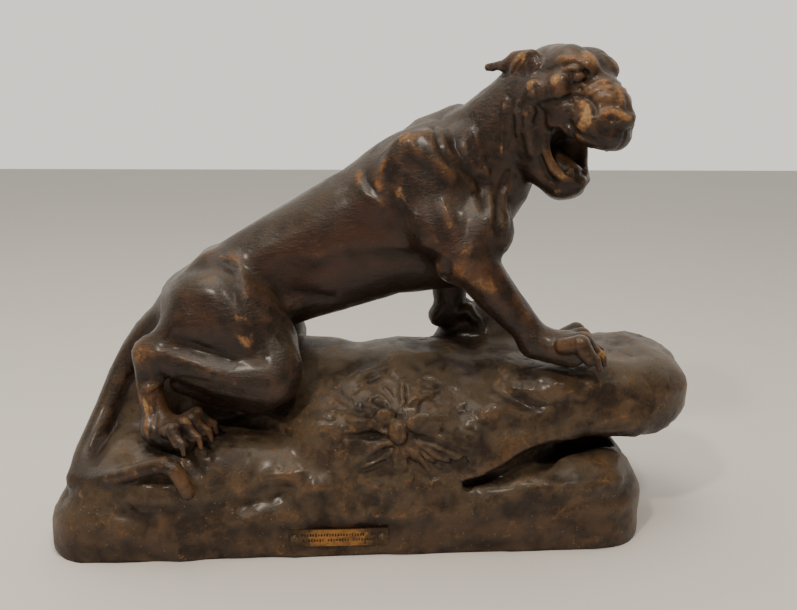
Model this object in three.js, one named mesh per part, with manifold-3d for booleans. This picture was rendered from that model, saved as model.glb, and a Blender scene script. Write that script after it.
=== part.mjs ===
// A roaring tiger crouched on a rock ledge, cast as one piece in dark terracotta, with a small
// brass title plate and its two nails on the front foot of the rock.
// Millimetres, +X to where the tiger faces, -Y the side with the plate, +Z up, origin under the rock.

import * as THREE from "three";
import { edgeTable, triTable } from "three/addons/objects/MarchingCubes.js";
import { mergeVertices } from "three/addons/utils/BufferGeometryUtils.js";
import Module from "manifold-3d";

// Driving dimensions of the rock: its foot, its terraces and the ledge under the front paw.
const ROCK = {
  centre: [-12, -3],
  halfLength: 250,
  halfWidth: 90,
  shoulder: 76,
  terrace: 92,
  mound: 155,
  ledge: { tip: 284, root: 96, halfWidth: 74, top: 150, bottom: 84 },
};

// Joints of the body on its midline, each [x, y, z, radius]. The body climbs to the right.
const PELVIS = [-148, 0, 195, 32];
const LOIN = [-112, 0, 213, 37];
const WAIST = [-68, 0, 238, 39];
const RIBS = [-12, 0, 263, 46];
const CHEST = [48, 0, 290, 50];
const NECK_ROOT = [78, 0, 312, 44];
const NECK = [106, -6, 338, 37];
const NAPE = [130, -16, 362, 34];

// The head: its centre in the skull, and its turn to the plate side, down and over, in degrees.
const HEAD = { at: [156, -24, 378], yaw: -56, pitch: -8, roll: -4 };

// Joints of the near legs, y < 0. The far hind leg is the near one mirrored.
const HIND_LEG = {
  thigh: [-112, -42, 182],
  knee: [-78, -58, 150],
  hock: [-184, -51, 166],
  ankle: [-173, -63, 104],
  paw: [-167, -69, 99],
};
const FORE_LEG = {
  blade: [52, -36, 306],
  shoulder: [95, -42, 262],
  elbow: [68, -52, 235],
  wrist: [138, -56, 175],
  paw: [150, -60, 165],
};
const FAR_FORE_LEG = { elbow: [78, 44, 232], wrist: [79, 46, 186], paw: [77, 48, 166] };

// The title plate let into the front of the foot, and the round nails that hold it.
const PLATE = { at: [-27, -91.4, 17], length: 82, height: 14.5, thickness: 1.6, bow: 1 };
const NAIL = { fromEnd: 4.8, headRadius: 3.2, headHeight: 1.4, shaftRadius: 0.9, shaftLength: 6 };
const GAP = 0.3;

// The block of clay, how finely it is sampled, and how many triangles the thinned surface keeps.
const BLOCK = { low: [-275, -116, -18], high: [305, 104, 425] };
const GRID = 3;
const CAST_TRIANGLES = 9000;

// What thinning out looks after: the weight of face, paws and body, and the worst a triangle may get.
const CARE = { face: 5, faceReach: 78, paws: 3, pawReach: 36, body: 1.6, bodyAbove: 160 };
const THINNING = { stray: 1.2, shortFirst: 1e-3, leastTurn: 0.2, leastPlump: 0.12 };

const RADIANS = Math.PI / 180;
const FAR_AWAY = 1000;

// A bench is a place to model in: its own origin and turn in degrees, forward along its +X.
class Bench {
  constructor(origin = [0, 0, 0], yaw = 0, pitch = 0, roll = 0) {
    const turn = new THREE.Euler(roll * RADIANS, -pitch * RADIANS, yaw * RADIANS, "ZYX");
    this.origin = new THREE.Vector3(...origin);
    this.turn = new THREE.Quaternion().setFromEuler(turn);
  }

  place([x, y, z, ...rest]) {
    const p = new THREE.Vector3(x, y, z).applyQuaternion(this.turn).add(this.origin);
    return [p.x, p.y, p.z, ...rest];
  }

  // An ellipsoid lump: centre, half sizes and a turn of its own in degrees.
  ball(at, [a, b, c], [rollX, pitchY, yawZ] = [0, 0, 0]) {
    const own = new THREE.Euler(rollX * RADIANS, pitchY * RADIANS, yawZ * RADIANS, "ZYX");
    const turn = this.turn.clone().multiply(new THREE.Quaternion().setFromEuler(own)).invert();
    const m = new THREE.Matrix4().makeRotationFromQuaternion(turn).elements;
    const [ox, oy, oz] = this.place(at);
    const reach = Math.max(a, b, c);
    return {
      low: [ox - reach, oy - reach, oz - reach],
      high: [ox + reach, oy + reach, oz + reach],
      distance(x, y, z) {
        const dx = x - ox;
        const dy = y - oy;
        const dz = z - oz;
        const u = (m[0] * dx + m[4] * dy + m[8] * dz) / a;
        const v = (m[1] * dx + m[5] * dy + m[9] * dz) / b;
        const w = (m[2] * dx + m[6] * dy + m[10] * dz) / c;
        const near = Math.hypot(u, v, w);
        const slope = Math.hypot(u / a, v / b, w / c);
        return slope < 1e-9 ? -Math.min(a, b, c) : (near * (near - 1)) / slope;
      },
    };
  }

  // A chain of [x, y, z, radius] joints as one rounded limb, its section stretched along one direction.
  limb(joints, stretch = 1, along = [0, 1, 0]) {
    const chain = joints.map((joint) => this.place(joint));
    const axis = new THREE.Vector3(...along).applyQuaternion(this.turn).normalize();
    const low = [0, 1, 2].map((i) => Math.min(...chain.map((j) => j[i] - j[3] * Math.max(1, stretch))));
    const high = [0, 1, 2].map((i) => Math.max(...chain.map((j) => j[i] + j[3] * Math.max(1, stretch))));
    const squeeze = 1 / stretch - 1;
    const flatten = (x, y, z) => {
      const t = (axis.x * x + axis.y * y + axis.z * z) * squeeze;
      return [x + axis.x * t, y + axis.y * t, z + axis.z * t];
    };
    const bones = chain.slice(1).map((end, i) => {
      const start = chain[i];
      const [bx, by, bz] = flatten(end[0] - start[0], end[1] - start[1], end[2] - start[2]);
      return { start, end, bx, by, bz, length2: bx * bx + by * by + bz * bz };
    });
    return {
      low,
      high,
      distance(x, y, z) {
        let least = FAR_AWAY;
        for (const { start, end, bx, by, bz, length2 } of bones) {
          const [px, py, pz] = flatten(x - start[0], y - start[1], z - start[2]);
          const t = THREE.MathUtils.clamp((px * bx + py * by + pz * bz) / length2, 0, 1);
          const radius = start[3] + (end[3] - start[3]) * t;
          least = Math.min(least, Math.hypot(px - bx * t, py - by * t, pz - bz * t) - radius);
        }
        return least * Math.min(1, stretch);
      },
    };
  }

  // A level block: centre, half sizes, the radius of its corners in plan and that of its rims.
  slab(at, [a, b, c], corner, rim) {
    const [ox, oy, oz] = this.place(at);
    return {
      low: [ox - a, oy - b, oz - c],
      high: [ox + a, oy + b, oz + c],
      distance(x, y, z) {
        const plan = roundedCorner(Math.abs(x - ox) - a, Math.abs(y - oy) - b, corner);
        return roundedCorner(plan, Math.abs(z - oz) - c, rim);
      },
    };
  }
}

const floor = new Bench();

// A mass of clay: distances to its surface on a grid, negative inside. Lumps blend into it softly.
class Clay {
  constructor(low, high, step) {
    this.low = low;
    this.step = step;
    this.count = low.map((v, i) => Math.ceil((high[i] - v) / step) + 1);
    this.values = new Float32Array(this.count[0] * this.count[1] * this.count[2]).fill(FAR_AWAY);
  }

  // Calls change(x, y, z, value) for every sample in a box, and keeps what it returns.
  sweep(low, high, change) {
    const [nx, ny] = this.count;
    const first = low.map((v, i) => Math.max(0, Math.floor((v - this.low[i]) / this.step)));
    const last = high.map((v, i) => {
      return Math.min(this.count[i] - 1, Math.ceil((v - this.low[i]) / this.step));
    });
    for (let k = first[2]; k <= last[2]; k++) {
      for (let j = first[1]; j <= last[1]; j++) {
        for (let i = first[0]; i <= last[0]; i++) {
          const at = i + nx * (j + ny * k);
          const x = this.low[0] + i * this.step;
          const y = this.low[1] + j * this.step;
          const z = this.low[2] + k * this.step;
          this.values[at] = change(x, y, z, this.values[at]);
        }
      }
    }
  }

  reachOf(shape, blend) {
    const margin = blend + 3 * this.step;
    return [shape.low.map((v) => v - margin), shape.high.map((v) => v + margin)];
  }

  add(shape, blend = 6) {
    const [low, high] = this.reachOf(shape, blend);
    this.sweep(low, high, (x, y, z, value) => softMin(value, shape.distance(x, y, z), blend));
    return this;
  }

  carve(shape, blend = 4) {
    const [low, high] = this.reachOf(shape, blend);
    this.sweep(low, high, (x, y, z, value) => -softMin(-value, shape.distance(x, y, z), blend));
    return this;
  }

  merge(other, blend) {
    for (let i = 0; i < this.values.length; i++) {
      this.values[i] = softMin(this.values[i], other.values[i], blend);
    }
    return this;
  }

  // Shifts the surface in and out by soft waves of a given length, as worn rock is.
  roughen(height, length) {
    const k = (2 * Math.PI) / length;
    this.sweep(this.low, this.low.map((v, i) => v + this.count[i] * this.step), (x, y, z, value) => {
      const wave = Math.sin(k * x + 2 * Math.sin(0.7 * k * z)) + Math.sin(k * (0.8 * y - 0.6 * z) + 1);
      return value + 0.5 * height * (wave + Math.sin(k * (0.5 * x + 0.9 * z) + 2));
    });
    return this;
  }

  // Where the clay's front face is, seen along +Y at an x and a z.
  frontAt(x, z) {
    const [nx, ny] = this.count;
    const i = Math.round((x - this.low[0]) / this.step);
    const k = Math.round((z - this.low[2]) / this.step);
    let j = 0;
    while (j < ny - 1 && this.values[i + nx * (j + ny * k)] > 0) j += 1;
    const inside = this.values[i + nx * (j + ny * k)];
    const outside = this.values[i + nx * (j - 1 + ny * k)];
    return this.low[1] + this.step * (j - inside / (inside - outside));
  }

  // Leaves the outermost samples empty, so that the surface closes inside the grid.
  seal() {
    const [nx, ny, nz] = this.count;
    this.values.forEach((value, at) => {
      const i = at % nx;
      const j = Math.floor(at / nx) % ny;
      const k = Math.floor(at / (nx * ny));
      const edge = i === 0 || j === 0 || k === 0 || i === nx - 1 || j === ny - 1 || k === nz - 1;
      if (edge) this.values[at] = Math.max(value, this.step / 2);
    });
    return this;
  }
}

// Distance to a corner between two walls, rounded to a radius. u and v are distances to the walls.
function roundedCorner(u, v, radius) {
  const p = u + radius;
  const q = v + radius;
  return Math.hypot(Math.max(p, 0), Math.max(q, 0)) + Math.min(Math.max(p, q), 0) - radius;
}

// The lesser of two distances, with the corner between them filled over a width of blend.
function softMin(a, b, blend) {
  const overlap = Math.max(blend - Math.abs(a - b), 0);
  return Math.min(a, b) - (overlap * overlap) / (4 * blend);
}

const SIDES = [-1, 1];

// Trunk, from the pelvis up to the nape, with the belly hung below it.
function modelTrunk(clay) {
  clay.add(floor.limb([PELVIS, LOIN, WAIST, RIBS, CHEST], 0.86), 1);
  clay.add(floor.limb([CHEST, NECK_ROOT, NECK, NAPE], 0.86), 24);
  const belly = [[72, 0, 240, 32], [22, 0, 234, 30], [-30, 0, 215, 27], [-74, 0, 196, 20]];
  clay.add(floor.limb(belly, 0.95), 30);
  for (const side of SIDES) {
    clay.add(floor.ball([-134, 20 * side, 230], [15, 10, 11], [0, -30, 0]), 14);
    clay.add(floor.ball([-148, 27 * side, 192], [27, 22, 32]), 14);
    clay.carve(floor.ball([-74, 47 * side, 214], [20, 12, 26], [0, 30, 0]), 18);
  }
  clay.add(floor.limb([[52, 30, 342, 12], [80, 24, 354, 12]]), 14);
  clay.add(floor.limb([[24, -26, 318, 12], [46, -26, 330, 11]]), 12);
}

// A paw with four spread toes, arched at the knuckle, and their hooked claws, on its own bench.
function modelPaw(clay, bench, length, width, toeRadius) {
  clay.add(bench.limb([[-length * 0.3, 0, 4, width * 0.3], [length * 0.4, 0, 5, width * 0.36]], 1.15), 8);
  for (let toe = 0; toe < 4; toe++) {
    const across = (toe - 1.5) * width * 0.33;
    const long = length * (toe === 1 || toe === 2 ? 1 : 0.86);
    const joints = [
      [length * 0.2, across * 0.7, 10, toeRadius],
      [long * 0.58, across, 16, toeRadius * 1.25],
      [long * 0.84, across * 1.16, 7, toeRadius],
    ];
    clay.add(bench.limb(joints), 2);
    const claw = [
      [long * 0.86, across * 1.18, 10, 3.3],
      [long * 1.01, across * 1.27, 8, 2.9],
      [long * 1.09, across * 1.32, 0, 2],
    ];
    clay.add(bench.limb(claw), 1.5);
  }
}

// The near or the far hind leg, folded under the rump.
function modelHindLeg(clay, side) {
  const at = ([x, y, ...rest]) => [x, -y * side, ...rest];
  const { thigh, knee, hock, ankle, paw } = HIND_LEG;
  const calf = [[-82, -60, 142, 22], [-122, -59, 147, 18], [-160, -56, 158, 12.5], [...hock, 11]];
  clay.add(floor.ball(at(thigh), [58, 28, 42], [0, 38, 0]), 14);
  clay.add(floor.ball(at(knee), [22, 17, 26], [0, 20, 0]), 12);
  clay.add(floor.limb(calf.map(at)), 8);
  clay.add(floor.limb([at([-150, -44, 186, 20]), at([-174, -49, 170, 11])]), 10);
  clay.add(floor.limb([[-92, -52, 126, 16], [-128, -50, 129, 11], [-158, -50, 138, 8]].map(at)), 8);
  clay.add(floor.limb([[-182, -52, 158, 12], [-180, -57, 132, 10.5], [...ankle, 12]].map(at)), 6);
  modelPaw(clay, new Bench(at(paw), side < 0 ? -22 : 4, -4), 34, 40, 5);
}

// The near foreleg, stretched out to the ledge.
function modelNearForeLeg(clay) {
  const { blade, shoulder, elbow, wrist, paw } = FORE_LEG;
  clay.add(floor.ball(blade, [26, 12, 44], [0, -41, 0]), 12);
  clay.add(floor.ball(shoulder, [20, 18, 22]), 14);
  clay.add(floor.ball([66, -46, 262], [34, 18, 26], [0, 30, 0]), 12);
  clay.add(floor.limb([[95, -44, 264, 24], [76, -50, 242, 18]]), 10);
  clay.add(floor.ball([101, -32, 270], [15, 15, 27]), 10);
  clay.add(floor.ball(elbow, [12, 11, 12]), 8);
  const forearm = [[80, -50, 244, 21], [104, -53, 214, 17.5], [128, -56, 187, 13.5], [...wrist, 13]];
  clay.add(floor.limb(forearm), 8);
  modelPaw(clay, new Bench(paw, -10, -10), 42, 43, 6.5);
}

// The far foreleg, straight down on to the rock behind.
function modelFarForeLeg(clay) {
  const { elbow, wrist, paw } = FAR_FORE_LEG;
  clay.add(floor.ball([66, 36, 308], [28, 12, 44], [0, -40, 0]), 12);
  clay.add(floor.ball([96, 40, 264], [24, 20, 24]), 14);
  clay.add(floor.limb([[90, 42, 262, 24], [...elbow, 20], [78, 46, 206, 17], [...wrist, 15]]), 10);
  modelPaw(clay, new Bench(paw, 8, -6), 28, 34, 5);
}

// Chest and throat under the neck.
function modelChest(clay) {
  for (const side of SIDES) {
    clay.add(floor.ball([96, 12 * side, 273], [20, 20, 30]), 14);
  }
  clay.add(floor.limb([[126, -16, 322, 20], [115, -9, 298, 24], [103, -2, 274, 21]]), 16);
}

// The head with the mouth wide open, modelled on its own bench: forward +X, the near side -Y.
function modelHead(clay) {
  const { at, yaw, pitch, roll } = HEAD;
  const bench = new Bench(at, yaw, pitch, roll);
  clay.add(bench.ball([0, 0, 0], [40, 34, 37]), 14);
  clay.add(bench.ball([18, 0, 14], [22, 26, 20]), 10);
  clay.add(bench.limb([[20, 0, 4, 24], [42, 0, -4, 19], [54, 0, -12, 16]], 1.05), 8);
  clay.add(bench.limb([[30, 0, 20, 10], [50, 0, 8, 10], [64, 0, -4, 9]], 1.25), 8);
  clay.add(bench.ball([70, 0, -13], [9, 14, 9]), 4);
  clay.add(bench.ball([64, 0, -26], [13, 18, 12]), 6);
  for (const side of SIDES) {
    modelFaceSide(clay, bench, side);
  }
  modelJaw(clay, bench);
}

// Cheek, brow, eye, lip, ear and ruff of one side of the face.
function modelFaceSide(clay, bench, side) {
  clay.add(bench.limb([[6, 31 * side, -4, 11], [26, 27 * side, 0, 9]]), 8);
  clay.add(bench.ball([25, 28 * side, 6], [8, 6, 8]), 5);
  clay.add(bench.ball([20, 14 * side, 22], [16, 13, 15]), 8);
  clay.add(bench.ball([31, 15 * side, 20], [11, 12, 8]), 8);
  clay.add(bench.ball([36, 12 * side, 22], [9, 9, 6]), 7);
  clay.add(bench.ball([52, 9 * side, 1], [13, 9, 7]), 10);
  clay.add(bench.ball([29, 23 * side, -14], [13, 8, 10]), 10);
  clay.add(bench.ball([54, 14 * side, -20], [17, 13, 16]), 7);
  clay.add(bench.limb([[64, 7 * side, -30, 6], [50, 16 * side, -30, 6], [26, 25 * side, -24, 6]]), 5);
  clay.add(bench.ball([-11, 29 * side, -14], [18, 10, 26]), 8);
  clay.add(bench.ball([2, 24 * side, -38], [15, 10, 24]), 8);
  for (let lock = 0; lock < 4; lock++) {
    const x = -20 + 8 * lock;
    clay.add(bench.limb([[x, 36 * side, 0, 2], [x + 3, 37 * side, -22, 5.5], [x + 10, 31 * side, -50, 2]]), 7);
  }
  clay.add(bench.ball([-17, 33 * side, -22], [11, 13, 24], [0, -14, 0]), 5);
  const ear = [
    [-8, 30 * side, 18, 11],
    [-21, 34 * side, 17, 8.5],
    [-29, 37 * side, 12, 5.5],
    [-46, 39 * side, 9, 3],
  ];
  clay.add(bench.limb(ear, 0.6), 5);
  clay.carve(bench.ball([42, 22 * side, 14], [9, 7, 5]), 3);
  clay.add(bench.ball([35.5, 19.5 * side, 14], [6.5, 6, 4.6]), 1);
}

// The dropped lower jaw, the hollow of the mouth with its lips, the tongue and the teeth.
function modelJaw(clay, bench) {
  for (const side of SIDES) {
    const bone = [[-2, 20 * side, -46, 12], [10, 16 * side, -66, 11], [28, 8 * side, -74, 10]];
    clay.add(bench.limb(bone), 8);
  }
  clay.add(bench.limb([[22, 0, -76, 11], [36, 0, -71, 9]], 1.2), 6);
  clay.carve(bench.ball([40, 0, -45], [17, 27, 17]), 3);
  clay.carve(bench.ball([24, 0, -44], [16, 14, 13], [0, 20, 0]), 5);
  for (const side of SIDES) {
    clay.carve(bench.ball([31, 19 * side, -31], [8, 9, 9]), 3);
    const cheek = [[6, 24 * side, -22, 9], [9, 22 * side, -44, 9], [16, 17 * side, -62, 8]];
    clay.add(bench.limb(cheek), 8);
    const lip = [
      [23, 24 * side, -23, 3.5],
      [18, 24 * side, -31, 3.5],
      [19, 24 * side, -42, 3.5],
      [23, 22 * side, -52, 3.8],
      [28, 18 * side, -61, 4.5],
      [36, 12 * side, -67, 5],
      [42, 0, -68, 5],
    ];
    clay.add(bench.limb(lip), 4);
  }
  clay.add(bench.limb([[6, 0, -55, 10], [22, 0, -60, 9], [34, 0, -61, 6.5]], 1.3), 3);
  for (const side of SIDES) {
    clay.add(bench.limb([[56, 11 * side, -31, 4], [55, 10 * side, -37 - side, 2.4]]), 2);
    clay.add(bench.limb([[37, 9 * side, -66, 3.4], [39, 9 * side, -59, 2.2]]), 2);
  }
}

// The tail, hanging from the rump, bent at the rock's end and hooked at its tip on the front.
function modelTail(clay) {
  const hanging = [
    [-172, 0, 182, 18],
    [-190, 4, 168, 15],
    [-204, 2, 152, 12.5],
    [-215, -3, 132, 11.5],
    [-226, -12, 106, 11],
    [-233, -24, 90, 10.5],
    [-240, -40, 72, 10.5],
    [-241, -60, 59, 11],
  ];
  const lying = [
    [-241, -60, 59, 10.5],
    [-230, -70, 61, 8],
    [-212, -80, 67, 7.2],
    [-194, -87, 74, 6.6],
    [-177, -92, 81, 6.6],
    [-165, -95, 84, 6.8],
    [-157, -97, 81, 6.8],
    [-151, -99, 72, 6.4],
    [-147, -100, 62, 6],
  ];
  clay.add(floor.limb(hanging), 7);
  clay.add(floor.limb(lying), 3);
}

function modelTiger(clay) {
  modelTrunk(clay);
  modelChest(clay);
  modelHindLeg(clay, -1);
  modelHindLeg(clay, 1);
  modelNearForeLeg(clay);
  modelFarForeLeg(clay);
  modelHead(clay);
  modelTail(clay);
}

// The rock: a low foot, a terrace under the hind paws, a mound under the belly and the ledge.
function modelRock(clay) {
  const { centre, halfLength, halfWidth, shoulder, terrace, mound, ledge } = ROCK;
  const [x, y] = centre;
  const ledgeAt = [(ledge.tip + ledge.root) / 2, 3, (ledge.top + ledge.bottom) / 2];
  const ledgeHalf = [(ledge.tip - ledge.root) / 2, ledge.halfWidth, (ledge.top - ledge.bottom) / 2];
  clay.add(floor.slab([x, y, shoulder / 2], [halfLength - 7, halfWidth - 4, shoulder / 2], 50, 28), 1);
  clay.add(floor.slab([x, y, 16], [halfLength, halfWidth, 30], 52, 14), 10);
  clay.add(floor.slab([x - halfLength + 70, y, 13], [72, halfWidth + 1, 27], 38, 15), 8);
  clay.add(floor.slab([-102, 0, terrace - 40], [126, 80, 40], 50, 24), 12);
  clay.add(floor.slab([34, -6, 66], [112, 78, 58], 60, 40), 14);
  clay.add(floor.ball([40, 12, mound - 65], [150, 84, 65]), 16);
  clay.add(floor.ball([-52, 28, 114], [50, 46, 40]), 16);
  clay.add(floor.ball([-190, 20, 92], [42, 47, 50]), 14);
  clay.add(floor.ball([-138, 62, 72], [48, 26, 20]), 12);
  clay.add(floor.ball([-122, 6, 112], [58, 34, 34]), 12);
  clay.add(floor.slab(ledgeAt, ledgeHalf, 60, 27), 14);
  clay.carve(floor.limb([[312, -90, 40, 66], [312, 90, 40, 66]]), 10);
  clay.add(floor.ball([237, 15, 135], [47, 47, 21]), 8);
  clay.add(floor.ball([112, 56, 145], [44, 30, 36]), 12);
  clay.roughen(1.1, 46);
  modelRockBack(clay);
  modelRockFront(clay);
  modelPlant(clay);
}

// Broad, plain folds along the back of the rock.
function modelRockBack(clay) {
  clay.add(floor.limb([[-206, 70, 40, 18], [-120, 75, 50, 18], [-30, 73, 60, 17]]), 14);
  clay.add(floor.limb([[-40, 75, 26, 16], [60, 75, 34, 18], [160, 68, 44, 18]]), 14);
  clay.add(floor.limb([[40, 74, 84, 16], [120, 70, 98, 16], [190, 58, 112, 15]]), 14);
}

// Folds on the front of the rock, each a line of [x, z, radius] marks, and how far each stands out.
function modelRockFront(clay) {
  const lie = (marks, lift) =>
    marks.map(([x, z, radius]) => [x, clay.frontAt(x, z) + radius - lift, z, radius]);
  const ridges = [
    { marks: [[102, 113, 12], [122, 109, 11]], lift: 6 },
    { marks: [[130, 106, 10], [148, 103, 10]], lift: 6 },
    { marks: [[162, 107, 11], [196, 104, 12], [226, 102, 12]], lift: 4 },
    { marks: [[48, 98, 13], [88, 89, 12], [126, 88, 9]], lift: 7 },
    { marks: [[-92, 96, 9], [-80, 102, 9], [-40, 102, 10], [-8, 106, 9]], lift: 3 },
    { marks: [[-60, 64, 10], [-40, 60, 9]], lift: 5 },
    { marks: [[-190, 50, 9], [-160, 50, 9]], lift: 3 },
    { marks: [[96, 45, 10], [138, 50, 12], [172, 56, 12], [204, 56, 11]], lift: 5 },
    { marks: [[88, 74, 9], [127, 90, 10], [166, 99, 9]], lift: 8 },
  ];
  ridges.map(({ marks, lift }) => lie(marks, lift)).forEach((joints) => clay.add(floor.limb(joints), 8));
  const hollows = [
    { marks: [[80, 59, 4], [112, 66, 7], [145, 73, 10], [178, 79, 13], [204, 79, 13]], depth: 11 },
    { marks: [[-200, 42, 6], [-182, 31, 6]], depth: 3 },
    { marks: [[-156, 38, 9], [-134, 38, 9]], depth: 3 },
    { marks: [[-100, 48, 7], [-76, 58, 8], [-56, 66, 6]], depth: 4 },
  ];
  hollows.map(({ marks, depth }) => lie(marks, -depth)).forEach((joints) => {
    clay.carve(floor.limb(joints.map(([x, y, z, radius]) => [x, y - 2 * radius, z, radius])), 8);
  });
  const [plateX, plateY, plateZ] = PLATE.at;
  const aroundPlate = [PLATE.length / 2 + 9, 20, PLATE.height / 2 + 6];
  clay.add(floor.slab([plateX, plateY + 20.4, plateZ], aroundPlate, 5, 5), 4);
  clay.carve(floor.slab([plateX, plateY - 20.4, plateZ], aroundPlate, 5, 5), 4);
}

// The plant pressed into the front of the mound: a bud with leaves and blades lying on the rock.
function modelPlant(clay) {
  const bud = [23, 104];
  const leaves = [
    { from: bud, to: [82, 82], width: 24 },
    { from: bud, to: [54, 69], width: 12 },
    { from: bud, to: [24, 74], width: 12 },
    { from: bud, to: [-6, 74], width: 18 },
    { from: bud, to: [-18, 82], width: 12 },
    { from: [12, 112], to: [-28, 100], width: 15 },
    { from: bud, to: [2, 121], width: 14 },
    { from: bud, to: [60, 112], width: 24 },
    { from: [24, 112], to: [28, 136], width: 7 },
    { from: [32, 120], to: [60, 130], width: 8 },
    { from: [6, 144], to: [-22, 134], width: 9 },
  ];
  const lie = leaves.map(({ from, to, width }) => {
    const share = [0.1, 0.55, 1];
    const radius = [width * 0.25, width * 0.5, width * 0.12];
    return share.map((t, i) => {
      const x = from[0] + (to[0] - from[0]) * t;
      const z = from[1] + (to[1] - from[1]) * t;
      return [x, clay.frontAt(x, z) + 0.5, z, radius[i]];
    });
  });
  const [budX, budZ] = bud;
  const budY = clay.frontAt(budX, budZ);
  lie.forEach((joints) => clay.add(floor.limb(joints, 0.38), 2.5));
  clay.add(floor.ball([budX, budY - 3, budZ], [8.5, 9, 10.5]), 2);
}

// One closed surface through the clay's samples, by marching cubes.
function surfaceOf(clay) {
  const [nx, ny, nz] = clay.count;
  const corner = [0, 1, 1 + nx, nx, nx * ny, 1 + nx * ny, 1 + nx + nx * ny, nx + nx * ny];
  const edgeEnds = [
    [0, 1], [1, 2], [3, 2], [0, 3], [4, 5], [5, 6],
    [7, 6], [4, 7], [0, 4], [1, 5], [2, 6], [3, 7],
  ];
  const found = new Map();
  const points = [];
  const faces = [];
  const pointOn = (cell, edge) => {
    const a = cell + corner[edgeEnds[edge][0]];
    const b = cell + corner[edgeEnds[edge][1]];
    const key = a * 4 + (b - a === 1 ? 0 : b - a === nx ? 1 : 2);
    if (!found.has(key)) {
      const share = clay.values[a] / (clay.values[a] - clay.values[b]);
      const t = THREE.MathUtils.clamp(share, 0.06, 0.94);
      const from = [a % nx, Math.floor(a / nx) % ny, Math.floor(a / (nx * ny))];
      const direction = b - a === 1 ? 0 : b - a === nx ? 1 : 2;
      from[direction] += t;
      found.set(key, points.length);
      points.push(from.map((v, i) => clay.low[i] + v * clay.step));
    }
    return found.get(key);
  };
  for (let k = 0; k < nz - 1; k++) {
    for (let j = 0; j < ny - 1; j++) {
      for (let i = 0; i < nx - 1; i++) {
        const cell = i + nx * (j + ny * k);
        let code = 0;
        corner.forEach((offset, bit) => {
          if (clay.values[cell + offset] < 0) code |= 1 << bit;
        });
        if (edgeTable[code] === 0) continue;
        for (let n = code * 16; triTable[n] !== -1; n += 3) {
          faces.push([0, 2, 1].map((e) => pointOn(cell, triTable[n + e])));
        }
      }
    }
  }
  return { points, faces };
}

// How much a place matters when triangles are thinned out: most on the face and the paws.
function careAt([x, y, z]) {
  const [hx, hy, hz] = HEAD.at;
  if (Math.hypot(x - hx - 12, y - hy + 18, z - hz + 24) < CARE.faceReach) return CARE.face;
  const [pawX, pawY, pawZ] = HIND_LEG.paw;
  const paws = [HIND_LEG.paw, [pawX, -pawY, pawZ], FORE_LEG.paw, FAR_FORE_LEG.paw];
  const onPaw = paws.some((paw) => Math.hypot(x - paw[0] - 18, y - paw[1], z - paw[2]) < CARE.pawReach);
  if (onPaw) return CARE.paws;
  return z > CARE.bodyAbove ? CARE.body : 1;
}

// Thins a closed mesh to a number of triangles, taking away first the edges that bend it least.
function thinOut({ points, faces }, target) {
  const quadric = points.map(() => new Float64Array(10));
  const around = points.map(() => new Set());
  const alive = faces.map(() => true);
  let left = faces.length;
  faces.forEach((face, f) => {
    const [a, b, c] = face.map((i) => points[i]);
    const n = crossOf(a, b, c);
    const area = Math.hypot(...n) || 1e-9;
    const [p, q, r] = n.map((v) => v / area);
    const d = -(p * a[0] + q * a[1] + r * a[2]);
    const plane = [p * p, p * q, p * r, p * d, q * q, q * r, q * d, r * r, r * d, d * d];
    for (const i of face) {
      around[i].add(f);
      const weight = area * careAt(points[i]);
      plane.forEach((v, n) => (quadric[i][n] += v * weight));
    }
  });
  const stamp = new Int32Array(points.length);
  const queue = new Heap();
  const neighbours = (i) => {
    const near = new Set();
    for (const f of around[i]) for (const v of faces[f]) if (v !== i) near.add(v);
    return near;
  };
  const offer = (a, b) => {
    const sum = quadric[a].map((v, n) => v + quadric[b][n]);
    const middle = points[a].map((v, n) => (v + points[b][n]) / 2);
    const best = lowestPoint(sum) ?? middle;
    const length = distanceOf(points[a], points[b]);
    const strayed = distanceOf(best, middle) > THINNING.stray * length;
    const at = strayed ? middle : best;
    const cost = bendOf(sum, at) + THINNING.shortFirst * length * length;
    queue.push({ cost, a, b, at, stampA: stamp[a], stampB: stamp[b] });
  };
  points.forEach((_, a) => {
    for (const b of neighbours(a)) if (a < b) offer(a, b);
  });
  while (left > target && queue.size > 0) {
    const { a, b, at, stampA, stampB } = queue.pop();
    if (stamp[a] !== stampA || stamp[b] !== stampB) continue;
    const nearA = neighbours(a);
    const nearB = neighbours(b);
    if ([...nearA].filter((v) => nearB.has(v)).length !== 2) continue;
    const spots = [at, points[a], points[b]];
    const spot = spots.find((p) => !turnsOver(a, b, p) && !turnsOver(b, a, p));
    if (!spot) continue;
    for (const f of [...around[b]]) {
      if (faces[f].includes(a)) {
        alive[f] = false;
        left -= 1;
        for (const v of faces[f]) around[v].delete(f);
      } else {
        faces[f] = faces[f].map((v) => (v === b ? a : v));
        around[a].add(f);
      }
    }
    around[b].clear();
    points[a] = spot;
    quadric[a] = quadric[a].map((v, n) => v + quadric[b][n]);
    stamp[a] += 1;
    stamp[b] = -1;
    for (const v of neighbours(a)) offer(a, v);
  }
  return { points, faces: faces.filter((_, f) => alive[f]) };

  // Whether moving point i would turn one of its faces over, leaving out those that vanish with j.
  function turnsOver(i, j, at) {
    for (const f of around[i]) {
      if (faces[f].includes(j)) continue;
      const before = crossOf(...faces[f].map((v) => points[v]));
      const corners = faces[f].map((v) => (v === i ? at : points[v]));
      const after = crossOf(...corners);
      const dot = before[0] * after[0] + before[1] * after[1] + before[2] * after[2];
      if (dot < THINNING.leastTurn * Math.hypot(...before) * Math.hypot(...after)) return true;
      const plump = plumpness(corners);
      if (plump < THINNING.leastPlump && plump < plumpness(faces[f].map((v) => points[v]))) return true;
    }
    return false;
  }
}

const distanceOf = (a, b) => Math.hypot(a[0] - b[0], a[1] - b[1], a[2] - b[2]);

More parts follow.
